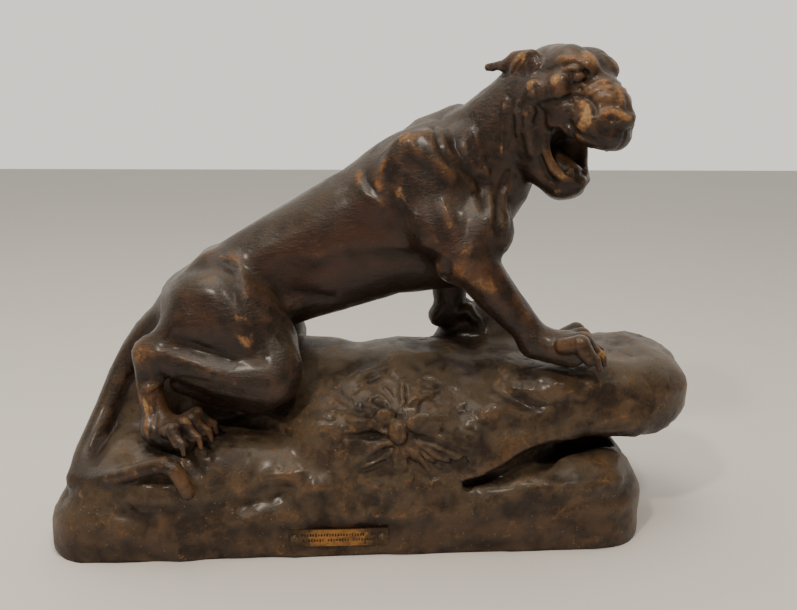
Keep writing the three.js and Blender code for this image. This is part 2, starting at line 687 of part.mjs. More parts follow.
// How far a triangle is from a sliver: 0 is a line, 0.87 has three like sides.
function plumpness(corners) {
  const longest = Math.max(...corners.map((p, n) => distanceOf(p, corners[(n + 1) % 3])));
  return Math.hypot(...crossOf(...corners)) / (longest * longest);
}

function crossOf(a, b, c) {
  const u = [b[0] - a[0], b[1] - a[1], b[2] - a[2]];
  const v = [c[0] - a[0], c[1] - a[1], c[2] - a[2]];
  return [u[1] * v[2] - u[2] * v[1], u[2] * v[0] - u[0] * v[2], u[0] * v[1] - u[1] * v[0]];
}

function bendOf(q, [x, y, z]) {
  const fromX = x * (q[0] * x + 2 * (q[1] * y + q[2] * z + q[3]));
  const fromY = y * (q[4] * y + 2 * (q[5] * z + q[6]));
  return Math.max(0, fromX + fromY + z * (q[7] * z + 2 * q[8]) + q[9]);
}

// The point where a quadric is least, or null where it has no single one.
function lowestPoint(q) {
  const m = new THREE.Matrix3().set(q[0], q[1], q[2], q[1], q[4], q[5], q[2], q[5], q[7]);
  const size = q[0] + q[4] + q[7];
  if (Math.abs(m.determinant()) < 1e-4 * size ** 3) return null;
  const p = new THREE.Vector3(-q[3], -q[6], -q[8]).applyMatrix3(m.invert());
  return [p.x, p.y, p.z];
}

// A queue that gives back its cheapest entry first.
class Heap {
  constructor() {
    this.items = [];
  }

  get size() {
    return this.items.length;
  }

  push(item) {
    const { items } = this;
    let at = items.length;
    items.push(item);
    while (at > 0) {
      const up = (at - 1) >> 1;
      if (items[up].cost <= item.cost) break;
      items[at] = items[up];
      at = up;
    }
    items[at] = item;
  }

  pop() {
    const { items } = this;
    const first = items[0];
    const last = items.pop();
    if (items.length > 0) {
      let at = 0;
      for (;;) {
        let down = 2 * at + 1;
        if (down >= items.length) break;
        if (down + 1 < items.length && items[down + 1].cost < items[down].cost) down += 1;
        if (last.cost <= items[down].cost) break;
        items[at] = items[down];
        at = down;
      }
      items[at] = last;
    }
    return first;
  }
}

const wasm = await Module();
wasm.setup();

// A closed three.js geometry as a solid that can be joined and cut, and back again.
function solidOf(geometry) {
  const bare = geometry.clone();
  bare.deleteAttribute("normal");
  bare.deleteAttribute("uv");
  const merged = mergeVertices(bare, 1e-4);
  return new wasm.Manifold(
    new wasm.Mesh({
      numProp: 3,
      vertProperties: new Float32Array(merged.attributes.position.array),
      triVerts: new Uint32Array(merged.index.array),
    }),
  );
}

function geometryOf(solid) {
  const { vertProperties, triVerts } = solid.getMesh();
  const geometry = new THREE.BufferGeometry();
  geometry.setAttribute("position", new THREE.Float32BufferAttribute(vertProperties, 3));
  geometry.setIndex([...triVerts]);
  geometry.computeVertexNormals();
  return geometry;
}

// A strip bowed outwards over its length, standing on edge: its back follows the plate's back.
function bowedStrip(length, height, back, front) {
  const steps = 8;
  const along = [...Array(steps + 1).keys()].map((n) => (n / steps - 0.5) * length);
  const bowAt = (x) => PLATE.bow * (1 - (2 * x / PLATE.length) ** 2);
  const outline = [
    ...along.map((x) => new THREE.Vector2(x, bowAt(x) + back)),
    ...along.toReversed().map((x) => new THREE.Vector2(x, bowAt(x) + front)),
  ];
  const strip = new THREE.ExtrudeGeometry(new THREE.Shape(outline), { depth: height, bevelEnabled: false });
  return strip.translate(0, 0, -height / 2).rotateZ(Math.PI).translate(...PLATE.at);
}

// Where the two nails go, on the back face of the plate.
const nailPlaces = SIDES.map((side) => {
  const fromMiddle = side * (PLATE.length / 2 - NAIL.fromEnd);
  const bow = PLATE.bow * (1 - (2 * fromMiddle / PLATE.length) ** 2);
  return [PLATE.at[0] + fromMiddle, PLATE.at[1] - bow, PLATE.at[2]];
});

function nailHoles(radius, reach) {
  const hole = new THREE.CylinderGeometry(radius, radius, reach, 12);
  return nailPlaces.map(([x, y, z]) => solidOf(hole.clone().translate(x, y, z)));
}

// A nail with a ringed round head, pointing into the rock.
function nailGeometry() {
  const { headRadius, headHeight, shaftRadius, shaftLength } = NAIL;
  const seat = PLATE.thickness + GAP;
  const profile = [
    [0, -shaftLength],
    [shaftRadius, -shaftLength],
    [shaftRadius, seat],
    [headRadius, seat],
    [headRadius, seat + headHeight * 0.5],
    [headRadius * 0.72, seat + headHeight * 0.55],
    [headRadius * 0.6, seat + headHeight * 0.9],
    [0, seat + headHeight],
  ];
  return new THREE.LatheGeometry(profile.map(([r, h]) => new THREE.Vector2(r, h)), 16).rotateZ(Math.PI);
}

// The cast: tiger and rock in one, its underside cut flat, with the plate's bed and the nail holes.
function castSculpture() {
  const clay = new Clay(BLOCK.low, BLOCK.high, GRID);
  const rock = new Clay(BLOCK.low, BLOCK.high, GRID);
  modelTiger(clay);
  modelRock(rock);
  clay.merge(rock, 5).seal();
  const { points, faces } = thinOut(surfaceOf(clay), CAST_TRIANGLES);
  const geometry = new THREE.BufferGeometry();
  geometry.setAttribute("position", new THREE.Float32BufferAttribute(points.flat(), 3));
  geometry.setIndex(faces.flat());
  const below = new THREE.BoxGeometry(700, 300, 60).translate(0, 0, -30);
  const bed = bowedStrip(PLATE.length + 2 * GAP, PLATE.height + 2 * GAP, -GAP, 20);
  const holes = nailHoles(NAIL.shaftRadius + GAP, 2 * (NAIL.shaftLength + GAP));
  const cuts = [solidOf(below), solidOf(bed), ...holes];
  return cuts.reduce((cast, cut) => cast.subtract(cut), solidOf(geometry));
}

function titlePlate() {
  const strip = solidOf(bowedStrip(PLATE.length, PLATE.height, 0, PLATE.thickness));
  return nailHoles(NAIL.shaftRadius + GAP, 20).reduce((plate, hole) => plate.subtract(hole), strip);
}

// Colours of the dark varnished terracotta, the worn brass plate and its nails.
const terracotta = new THREE.MeshStandardMaterial({ color: 0x3c3028, roughness: 0.4, metalness: 0 });
const wornBrass = new THREE.MeshStandardMaterial({ color: 0x8a5f33, roughness: 0.45, metalness: 0.8 });
const darkBrass = new THREE.MeshStandardMaterial({ color: 0x4f4234, roughness: 0.5, metalness: 0.7 });

function named(name, geometry, material) {
  const mesh = new THREE.Mesh(geometry, material);
  mesh.name = name;
  return mesh;
}

const group = new THREE.Group();
group.add(named("sculpture", geometryOf(castSculpture()), terracotta));
group.add(named("title_plate", geometryOf(titlePlate()), wornBrass));
["plate_nail_left", "plate_nail_right"].forEach((name, n) => {
  const nail = named(name, nailGeometry(), darkBrass);
  nail.position.set(...nailPlaces[n]);
  group.add(nail);
});

export default group;
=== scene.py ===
import math
from collections import namedtuple

import bmesh
import bpy
import numpy as np
from mathutils import Euler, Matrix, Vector


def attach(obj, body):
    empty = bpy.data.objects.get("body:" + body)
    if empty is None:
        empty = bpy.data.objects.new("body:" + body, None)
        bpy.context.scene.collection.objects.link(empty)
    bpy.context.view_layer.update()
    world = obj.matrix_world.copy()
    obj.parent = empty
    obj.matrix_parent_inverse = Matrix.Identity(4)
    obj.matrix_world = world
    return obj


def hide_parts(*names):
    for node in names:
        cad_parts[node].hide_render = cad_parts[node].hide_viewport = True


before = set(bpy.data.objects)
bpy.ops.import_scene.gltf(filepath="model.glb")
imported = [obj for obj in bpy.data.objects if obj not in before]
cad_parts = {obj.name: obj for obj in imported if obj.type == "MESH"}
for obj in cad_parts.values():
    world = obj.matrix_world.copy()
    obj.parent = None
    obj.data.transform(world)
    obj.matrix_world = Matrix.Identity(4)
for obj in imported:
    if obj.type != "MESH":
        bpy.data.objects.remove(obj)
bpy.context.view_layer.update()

bl_info = {
    "name": "Roaring tiger on a rock",
    "version": (1, 0, 0),
    "blender": (4, 5, 0),
    "location": "3D View > Sidebar > Tiger",
    "description": "Models a roaring terracotta tiger crouched on a rock ledge, with its title plate",
    "category": "Add Mesh",
}

# The clay is modelled in millimetres and turned into metres when its mesh is made.
MILLIMETRE = 0.001
FAR_AWAY = 1000.0
SIDES = (-1, 1)

# Driving sizes of the rock: its foot, its terraces and the ledge under the front paw.
ROCK_CENTRE = (-12, -3)
ROCK_HALF_LENGTH = 250
ROCK_HALF_WIDTH = 90
ROCK_SHOULDER = 76
ROCK_TERRACE = 92
ROCK_MOUND = 155
LEDGE_TIP, LEDGE_ROOT = 284, 96
LEDGE_TOP, LEDGE_BOTTOM = 150, 84
LEDGE_HALF_WIDTH = 74

# Joints of the body on its midline, each (x, y, z, radius). The body climbs to the right.
PELVIS = (-148, 0, 195, 32)
LOIN = (-112, 0, 213, 37)
WAIST = (-68, 0, 238, 39)
RIBS = (-12, 0, 263, 46)
CHEST = (48, 0, 290, 50)
NECK_ROOT = (78, 0, 312, 44)
NECK = (106, -6, 338, 37)
NAPE = (130, -16, 362, 34)

# Joints of the near legs, y < 0. The far hind leg is the near one mirrored.
THIGH, KNEE = (-112, -42, 182), (-78, -58, 150)
HOCK, ANKLE, HIND_PAW = (-184, -51, 166), (-173, -63, 104), (-167, -69, 99)
BLADE, SHOULDER, ELBOW = (52, -36, 306), (95, -42, 262), (68, -52, 235)
WRIST, FORE_PAW = (138, -56, 175), (150, -60, 165)
FAR_ELBOW, FAR_WRIST, FAR_FORE_PAW = (78, 44, 232), (79, 46, 186), (77, 48, 166)

# The title plate on the rock's front foot: the middle of its back, and its size.
PLATE_BACK = (-27, -91.4, 17)
PLATE_LENGTH, PLATE_HEIGHT = 82, 14.5

BLOCK_LOW = (-275, -116, -18)
BLOCK_HIGH = (305, 104, 425)

Lump = namedtuple("Lump", "low high distance")


class Bench:
    """A place to model in: its own origin and turn in degrees, forward along its +X."""

    def __init__(self, origin=(0, 0, 0), yaw=0, pitch=0, roll=0):
        self.origin = np.array(origin, float)
        self.turn = turn_matrix(roll, -pitch, yaw)

    def place(self, joint):
        x, y, z, *rest = joint
        return [*(self.origin + self.turn @ np.array((x, y, z), float)), *rest]

    def ball(self, at, half, turn=(0, 0, 0)):
        """An ellipsoid: centre, half sizes and a turn of its own in degrees."""
        axes = (self.turn @ turn_matrix(*turn)).T
        centre = np.array(self.place(at))
        reach = max(half)

        def distance(x, y, z):
            px, py, pz = x - centre[0], y - centre[1], z - centre[2]
            near = slope = 0
            for axis, size in zip(axes, half):
                share = (axis[0] * px + axis[1] * py + axis[2] * pz) / size
                near = near + share**2
                slope = slope + (share / size) ** 2
            near = np.sqrt(near)
            return near * (near - 1) / np.sqrt(np.maximum(slope, 1e-9))

        return Lump(centre - reach, centre + reach, distance)

    def limb(self, joints, stretch=1.0):
        """A chain of (x, y, z, radius) joints as one rounded limb, stretched along the bench's Y."""
        chain = [np.array(self.place(joint), float) for joint in joints]
        axis = self.turn @ np.array((0, 1, 0), float)
        axis /= np.linalg.norm(axis)
        squeeze = 1 / stretch - 1
        wide = max(1, stretch)
        low = np.min([j[:3] - j[3] * wide for j in chain], 0)
        high = np.max([j[:3] + j[3] * wide for j in chain], 0)

        def flatten(x, y, z):
            if squeeze == 0:
                return x, y, z
            t = (axis[0] * x + axis[1] * y + axis[2] * z) * squeeze
            return x + axis[0] * t, y + axis[1] * t, z + axis[2] * t

        def distance(x, y, z):
            least = FAR_AWAY
            for start, end in zip(chain, chain[1:]):
                bone = flatten(*(end - start)[:3])
                spot = flatten(x - start[0], y - start[1], z - start[2])
                t, away = beside(spot, bone, sum(way * way for way in bone))
                least = np.minimum(least, away - (start[3] + (end[3] - start[3]) * t))
            return least * min(1, stretch)

        return Lump(low, high, distance)

    def slab(self, at, half, corner, rim):
        """A level block: centre, half sizes, the radius of its corners in plan and that of its rims."""
        centre = np.array(self.place(at))

        def distance(x, y, z):
            plan = rounded_corner(abs(x - centre[0]) - half[0], abs(y - centre[1]) - half[1], corner)
            return rounded_corner(plan, abs(z - centre[2]) - half[2], rim)

        return Lump(centre - half, centre + half, distance)


def turn_matrix(x, y, z):
    """Turns about X, then Y, then Z, in degrees."""
    return np.array(Euler([math.radians(v) for v in (x, y, z)], "XYZ").to_matrix())


def rounded_corner(u, v, radius):
    """Distance to a corner between two walls, rounded to a radius. u and v are distances to the walls."""
    p = u + radius
    q = v + radius
    out = np.sqrt(np.maximum(p, 0) ** 2 + np.maximum(q, 0) ** 2)
    return out + np.minimum(np.maximum(p, q), 0) - radius


def beside(spot, bone, length_squared):
    """Each spot's share of the way along a bone, and its distance from it, both from the bone's start."""
    (px, py, pz), (bx, by, bz) = spot, bone
    t = np.clip((px * bx + py * by + pz * bz) / length_squared, 0, 1)
    return t, np.sqrt((px - bx * t) ** 2 + (py - by * t) ** 2 + (pz - bz * t) ** 2)


def soft_min(a, b, blend):
    """The lesser of two distances, with the corner between them filled over a width of blend."""
    overlap = np.maximum(blend - np.abs(a - b), 0)
    return np.minimum(a, b) - overlap * overlap / (4 * blend)


def eased(t):
    """A share from 0 to 1, made to start and end softly."""
    return t * t * (3 - 2 * t)


# The corners of a grid's cell, as steps along X, Y and Z.
CORNERS = [(i, j, k) for i in (0, 1) for j in (0, 1) for k in (0, 1)]


def weighed(grid, cell, t):
    """A grid's values at places within its cells, t from 0 to 1 each way. The grid repeats past its end."""
    total = 0
    for corner in CORNERS:
        weight = abs(1 - corner[0] - t[:, 0]) * abs(1 - corner[1] - t[:, 1]) * abs(1 - corner[2] - t[:, 2])
        total = total + weight * grid[tuple(((cell + corner) % grid.shape).T)]
    return total


class Clay:
    """A mass of clay: distances to its surface on a grid, negative inside. Lumps blend into it softly."""

    def __init__(self, step):
        self.low = np.array(BLOCK_LOW, float)
        self.step = step
        self.count = np.ceil((np.array(BLOCK_HIGH) - self.low) / step).astype(int) + 1
        self.values = np.full(self.count, FAR_AWAY, np.float32)

    def window(self, low, high):
        """The part of the grid within a box, and the coordinates of its samples."""
        first = np.maximum(0, np.floor((low - self.low) / self.step)).astype(int)
        last = np.minimum(self.count, np.ceil((high - self.low) / self.step).astype(int) + 1)
        part = tuple(slice(a, max(a, b)) for a, b in zip(first, last))
        ways = []
        for way, piece in enumerate(part):
            values = self.low[way] + self.step * np.arange(piece.start, piece.stop, dtype=np.float32)
            ways.append(values.reshape([-1 if n == way else 1 for n in range(3)]).astype(np.float32))
        return part, ways

    def near(self, lump, blend):
        margin = blend + 3 * self.step + 6
        return self.window(lump.low - margin, lump.high + margin)

    def add(self, lump, blend):
        part, ways = self.near(lump, blend)
        if self.values[part].size:
            self.values[part] = soft_min(self.values[part], lump.distance(*ways), blend)

    def carve(self, lump, blend):
        part, ways = self.near(lump, blend)
        if self.values[part].size:
            self.values[part] = -soft_min(-self.values[part], lump.distance(*ways), blend)

    def roughen(self, height, length):
        """Shifts the surface in and out by soft waves of a given length, as worn rock is."""
        k = 2 * math.pi / length
        part, (x, y, z) = self.window(self.low, np.array(BLOCK_HIGH))
        wave = np.sin(k * x + 2 * np.sin(0.7 * k * z)) + np.sin(k * (0.8 * y - 0.6 * z) + 1)
        self.values[part] += 0.5 * height * (wave + np.sin(k * (0.5 * x + 0.9 * z) + 2))

    def column(self, x, z):
        """The grid's values along Y at an x and a z."""
        return self.values[round((x - self.low[0]) / self.step), :, round((z - self.low[2]) / self.step)]

    def front_at(self, x, z):
        """Where the clay's front face is, seen along +Y at an x and a z."""
        column = self.column(x, z)
        j = int(np.argmax(column <= 0))
        inside, outside = column[j], column[j - 1]
        return float(self.low[1] + self.step * (j - inside / (inside - outside)))

    def lay(self, marks):
        """Marks near the surface moved on to it, with more marks on a smooth curve between them."""
        points = np.array(marks, float)
        if len(points) > 1:
            ends = np.concatenate([2 * points[:1] - points[1:2], points, 2 * points[-1:] - points[-2:-1]])
            curve = [points[:1]]
            for a, b, c, d in zip(ends, ends[1:], ends[2:], ends[3:]):
                for t in (0.25, 0.5, 0.75, 1):
                    spot = 2 * b + (c - a) * t + (2 * a - 5 * b + 4 * c - d) * t**2
                    spot = spot + (3 * b - a - 3 * c + d) * t**3
                    curve.append(spot[None] / 2)
            points = np.concatenate(curve)
        return self.settle(points, 5)

    def raise_line(self, marks, width, height):
        """Raises the surface along a line of marks, fading at its ends, or sinks it if height is below 0."""
        points = self.lay(marks)
        if len(points) == 1:
            points = np.concatenate([points, points + 1e-3])
        lengths = np.linalg.norm(np.diff(points, axis=0), axis=1)
        reached = np.concatenate([[0], np.cumsum(lengths)])
        fade = min(width, reached[-1] / 2) + 1e-6
        part, (x, y, z) = self.window(points.min(0) - width - 2, points.max(0) + width + 2)
        least = FAR_AWAY
        for start, end, far, length in zip(points, points[1:], reached, lengths):
            spot = (x - start[0], y - start[1], z - start[2])
            t, away = beside(spot, end - start, length**2)
            away = away / width
            s = far + t * length
            if reached[-1] > 0.01:
                away = away + 0.6 * np.maximum(1 - np.minimum(s, reached[-1] - s) / fade, 0) ** 2
            least = np.minimum(least, away)
        self.values[part] -= height * (1 - np.minimum(least, 1) ** 2) ** 2

    def sample(self, points, values=None):
        """The grid's value at each point, between its samples."""
        grid = self.values if values is None else values
        at = (points - self.low) / self.step
        cell = np.clip(np.floor(at).astype(int), 0, self.count - 2)
        return weighed(grid, cell, (at - cell).astype(np.float32))

    def outward(self, points):
        """The way out of the clay at each point."""
        ways = [self.sample(points + e) - self.sample(points - e) for e in np.eye(3) * self.step]
        out = np.stack(ways, 1)
        return out / np.maximum(np.linalg.norm(out, axis=1, keepdims=True), 1e-9)

    def settle(self, points, times):
        """Points near the surface moved on to it, a little closer each time."""
        for _ in range(times):
            points = points - self.outward(points) * self.sample(points)[:, None]
        return points


floor = Bench()
HEAD = Bench((156, -24, 378), -56, -8, -4)


def build_up(clay, bench, lumps, side=1):
    """Blends lumps into the clay in their order, with their y counted towards a side.

    A ball is (centre, half sizes, blend), then its turn if it has one.
    A limb is ([joints], blend), then its stretch if it has one.
    """
    for first, second, *rest in lumps:
        if isinstance(first, list):
            joints = [(x, y * side, z, radius) for x, y, z, radius in first]
            clay.add(bench.limb(joints, *rest), second)
        else:
            x, y, z = first
            blend, *turn = rest
            clay.add(bench.ball((x, y * side, z), second, *turn), blend)


def model_trunk(clay):
    """Trunk, from the pelvis up to the nape, with the belly hung below it."""
    trunk = [
        ([PELVIS, LOIN, WAIST, RIBS, CHEST], 1, 0.86),
        ([CHEST, NECK_ROOT, NECK, NAPE], 24, 0.86),
        ([(72, 0, 240, 32), (22, 0, 234, 30), (-30, 0, 215, 27), (-74, 0, 196, 20)], 30, 0.95),
    ]
    hip = [((-134, 20, 230), (15, 10, 11), 14, (0, -30, 0)), ((-148, 27, 192), (27, 22, 32), 14)]
    withers = [([(52, 30, 342, 12), (80, 24, 354, 12)], 14), ([(24, -26, 318, 12), (46, -26, 330, 11)], 12)]
    build_up(clay, floor, trunk)
    for side in SIDES:
        build_up(clay, floor, hip, side)
        clay.carve(floor.ball((-74, 47 * side, 214), (20, 12, 26), (0, 30, 0)), 18)
    build_up(clay, floor, withers)


def model_paw(clay, bench, length, width, toe_radius):
    """A paw with four spread toes, arched at the knuckle, and their hooked claws, pointing forward."""
    clay.add(bench.limb([(-length * 0.3, 0, 4, width * 0.3), (length * 0.4, 0, 5, width * 0.36)], 1.15), 8)
    for toe in range(4):
        across = (toe - 1.5) * width * 0.33
        long = length * (1 if toe in (1, 2) else 0.86)
        joints = [
            (length * 0.2, across * 0.7, 10, toe_radius),
            (long * 0.58, across, 16, toe_radius * 1.25),
            (long * 0.84, across * 1.16, 7, toe_radius),
        ]
        claw = [
            (long * 0.86, across * 1.18, 10, 3.3),
            (long * 1.01, across * 1.27, 8, 2.9),
            (long * 1.09, across * 1.32, 0, 2.0),
        ]
        build_up(clay, bench, [(joints, 2), (claw, 1.5)])


def model_hind_leg(clay, side):
    """The near or the far hind leg, folded under the rump. Its places are the near leg's."""
    leg = [
        (THIGH, (58, 28, 42), 14, (0, 38, 0)),
        (KNEE, (22, 17, 26), 12, (0, 20, 0)),
        ([(-82, -60, 142, 22), (-122, -59, 147, 18), (-160, -56, 158, 12.5), (*HOCK, 11)], 8),
        ([(-150, -44, 186, 20), (-174, -49, 170, 11)], 10),
        ([(-92, -52, 126, 16), (-128, -50, 129, 11), (-158, -50, 138, 8)], 8),
        ([(-182, -52, 158, 12), (-180, -57, 132, 10.5), (*ANKLE, 12)], 6),
    ]
    build_up(clay, floor, leg, -side)
    x, y, z = HIND_PAW
    model_paw(clay, Bench((x, -y * side, z), -22 if side < 0 else 4, -4), 34, 40, 5)


def model_near_foreleg(clay):
    """The near foreleg, stretched out to the ledge."""
    leg = [
        (BLADE, (26, 12, 44), 12, (0, -41, 0)),
        (SHOULDER, (20, 18, 22), 14),
        ((66, -46, 262), (34, 18, 26), 12, (0, 30, 0)),
        ([(95, -44, 264, 24), (76, -50, 242, 18)], 10),
        ((101, -32, 270), (15, 15, 27), 10),
        (ELBOW, (12, 11, 12), 8),
        ([(80, -50, 244, 21), (104, -53, 214, 17.5), (128, -56, 187, 13.5), (*WRIST, 13)], 8),
    ]
    build_up(clay, floor, leg)
    model_paw(clay, Bench(FORE_PAW, -10, -10), 42, 43, 6.5)


def model_far_foreleg(clay):
    """The far foreleg, straight down on to the rock behind."""
    leg = [
        ((66, 36, 308), (28, 12, 44), 12, (0, -40, 0)),
        ((96, 40, 264), (24, 20, 24), 14),
        ([(90, 42, 262, 24), (*FAR_ELBOW, 20), (78, 46, 206, 17), (*FAR_WRIST, 15)], 10),
    ]
    build_up(clay, floor, leg)
    model_paw(clay, Bench(FAR_FORE_PAW, 8, -6), 28, 34, 5)


def model_chest(clay):
    """Chest and throat under the neck."""
    for side in SIDES:
        clay.add(floor.ball((96, 12 * side, 273), (20, 20, 30)), 14)
    clay.add(floor.limb([(126, -16, 322, 20), (115, -9, 298, 24), (103, -2, 274, 21)]), 16)


def model_head(clay):
    """The head with the mouth wide open, modelled on its own bench: forward +X, the near side -Y."""
    skull_and_muzzle = [
        ((0, 0, 0), (40, 34, 37), 14),
        ((18, 0, 14), (22, 26, 20), 10),
        ([(20, 0, 4, 24), (42, 0, -4, 19), (54, 0, -12, 16)], 8, 1.05),
        ([(30, 0, 20, 10), (50, 0, 8, 10), (64, 0, -4, 9)], 8, 1.25),
        ((70, 0, -13), (9, 14, 9), 4),
        ((64, 0, -26), (13, 18, 12), 6),
    ]
    build_up(clay, HEAD, skull_and_muzzle)
    for side in SIDES:
        model_face_side(clay, side)
    model_jaw(clay)


def model_face_side(clay, side):
    """Cheek, brow, eye, lip, ear and ruff of one side of the face."""
    cheek_and_lip = [
        ([(6, 31, -4, 11), (26, 27, 0, 9)], 8),
        ((25, 28, 6), (8, 6, 8), 5),
        ((20, 14, 22), (16, 13, 15), 8),
        ((31, 15, 20), (11, 12, 8), 8),
        ((36, 12, 22), (9, 9, 6), 7),
        ((52, 9, 1), (13, 9, 7), 10),
        ((29, 23, -14), (13, 8, 10), 10),
        ((54, 14, -20), (17, 13, 16), 7),
        ([(64, 7, -30, 6), (50, 16, -30, 6), (26, 25, -24, 6)], 5),
        ((-11, 29, -14), (18, 10, 26), 8),
        ((2, 24, -38), (15, 10, 24), 8),
    ]
    locks = [([(x, 36, 0, 2), (x + 3, 37, -22, 5.5), (x + 10, 31, -50, 2)], 7) for x in (-20, -12, -4, 4)]
    ear = [(-8, 30, 18, 11), (-21, 34, 17, 8.5), (-29, 37, 12, 5.5), (-46, 39, 9, 3)]
    behind = [((-17, 33, -22), (11, 13, 24), 5, (0, -14, 0)), (ear, 5, 0.6)]
    build_up(clay, HEAD, cheek_and_lip + locks + behind, side)
    clay.carve(HEAD.ball((42, 22 * side, 14), (9, 7, 5)), 3)
    clay.add(HEAD.ball((35.5, 19.5 * side, 14), (6.5, 6, 4.6)), 1)


def model_jaw(clay):
    """The dropped lower jaw, the hollow of the mouth with its lips, the tongue and the teeth."""
    for side in SIDES:
        build_up(clay, HEAD, [([(-2, 20, -46, 12), (10, 16, -66, 11), (28, 8, -74, 10)], 8)], side)
    clay.add(HEAD.limb([(22, 0, -76, 11), (36, 0, -71, 9)], 1.2), 6)
    clay.carve(HEAD.ball((40, 0, -45), (17, 27, 17)), 3)
    clay.carve(HEAD.ball((24, 0, -44), (16, 14, 13), (0, 20, 0)), 5)
    jowl = [(6, 24, -22, 9), (9, 22, -44, 9), (16, 17, -62, 8)]
    lip = [
        (23, 24, -23, 3.5), (18, 24, -31, 3.5), (19, 24, -42, 3.5), (23, 22, -52, 3.8),
        (28, 18, -61, 4.5), (36, 12, -67, 5), (42, 0, -68, 5),
    ]
    for side in SIDES:
        clay.carve(HEAD.ball((31, 19 * side, -31), (8, 9, 9)), 3)
        build_up(clay, HEAD, [(jowl, 8), (lip, 4)], side)
    clay.add(HEAD.limb([(6, 0, -55, 10), (22, 0, -60, 9), (34, 0, -61, 6.5)], 1.3), 3)
    for side in SIDES:
        upper, lower = [(56, 11, -31, 4), (55, 10, -37 - side, 2.4)], [(37, 9, -66, 3.4), (39, 9, -59, 2.2)]
        build_up(clay, HEAD, [(upper, 2), (lower, 2)], side)


def model_tail(clay):
    """The tail, hanging from the rump, bent at the rock's end and hooked at its tip on the front."""
    hanging = [
        (-172, 0, 182, 18), (-190, 4, 168, 15), (-204, 2, 152, 12.5), (-215, -3, 132, 11.5),
        (-226, -12, 106, 11), (-233, -24, 90, 10.5), (-240, -40, 72, 10.5), (-241, -60, 59, 11),
    ]
    lying = [
        (-241, -60, 59, 10.5), (-230, -70, 61, 8), (-212, -80, 67, 7.2), (-194, -87, 74, 6.6),
        (-177, -92, 81, 6.6), (-165, -95, 84, 6.8), (-157, -97, 81, 6.8), (-151, -99, 72, 6.4),
        (-147, -100, 62, 6),
    ]
    build_up(clay, floor, [(hanging, 7), (lying, 3)])


def model_tiger(clay):
    model_trunk(clay)
    model_chest(clay)
    for side in SIDES:
        model_hind_leg(clay, side)
    model_near_foreleg(clay)
    model_far_foreleg(clay)
    model_head(clay)
    model_tail(clay)


def model_rock(clay):
    """The rock: a low foot, a terrace under the hind paws, a mound under the belly and the ledge."""
    x, y = ROCK_CENTRE
    ledge_at = ((LEDGE_TIP + LEDGE_ROOT) / 2, 3, (LEDGE_TOP + LEDGE_BOTTOM) / 2)
    ledge_half = ((LEDGE_TIP - LEDGE_ROOT) / 2, LEDGE_HALF_WIDTH, (LEDGE_TOP - LEDGE_BOTTOM) / 2)
    body_half = (ROCK_HALF_LENGTH - 7, ROCK_HALF_WIDTH - 4, ROCK_SHOULDER / 2)
    blocks = [
        ((x, y, ROCK_SHOULDER / 2), body_half, 50, 28, 1),
        ((x, y, 16), (ROCK_HALF_LENGTH, ROCK_HALF_WIDTH, 30), 52, 14, 10),
        ((x - ROCK_HALF_LENGTH + 70, y, 13), (72, ROCK_HALF_WIDTH + 1, 27), 38, 15, 8),
        ((-102, 0, ROCK_TERRACE - 40), (126, 80, 40), 50, 24, 12),
        ((34, -6, 66), (112, 78, 58), 60, 40, 14),
    ]
    for at, half, corner, rim, blend in blocks:
        clay.add(floor.slab(at, half, corner, rim), blend)
    mounds = [
        ((40, 12, ROCK_MOUND - 65), (150, 84, 65), 16),
        ((-52, 28, 114), (50, 46, 40), 16),
        ((-190, 20, 92), (42, 47, 50), 14),
        ((-138, 62, 72), (48, 26, 20), 12),
        ((-122, 6, 112), (58, 34, 34), 12),
    ]
    build_up(clay, floor, mounds)
    clay.add(floor.slab(ledge_at, ledge_half, 60, 27), 14)
    clay.carve(floor.limb([(312, -90, 40, 66), (312, 90, 40, 66)]), 10)
    build_up(clay, floor, [((237, 15, 135), (47, 47, 21), 8), ((112, 56, 145), (44, 30, 36), 12)])
    clay.roughen(1.1, 46)
    model_rock_back(clay)
    model_rock_front(clay)
    model_plant(clay)


def model_rock_back(clay):
    """Broad, plain folds along the back of the rock."""
    folds = [
        ([(-206, 70, 40, 18), (-120, 75, 50, 18), (-30, 73, 60, 17)], 14),
        ([(-40, 75, 26, 16), (60, 75, 34, 18), (160, 68, 44, 18)], 14),
        ([(40, 74, 84, 16), (120, 70, 98, 16), (190, 58, 112, 15)], 14),
    ]
    build_up(clay, floor, folds)


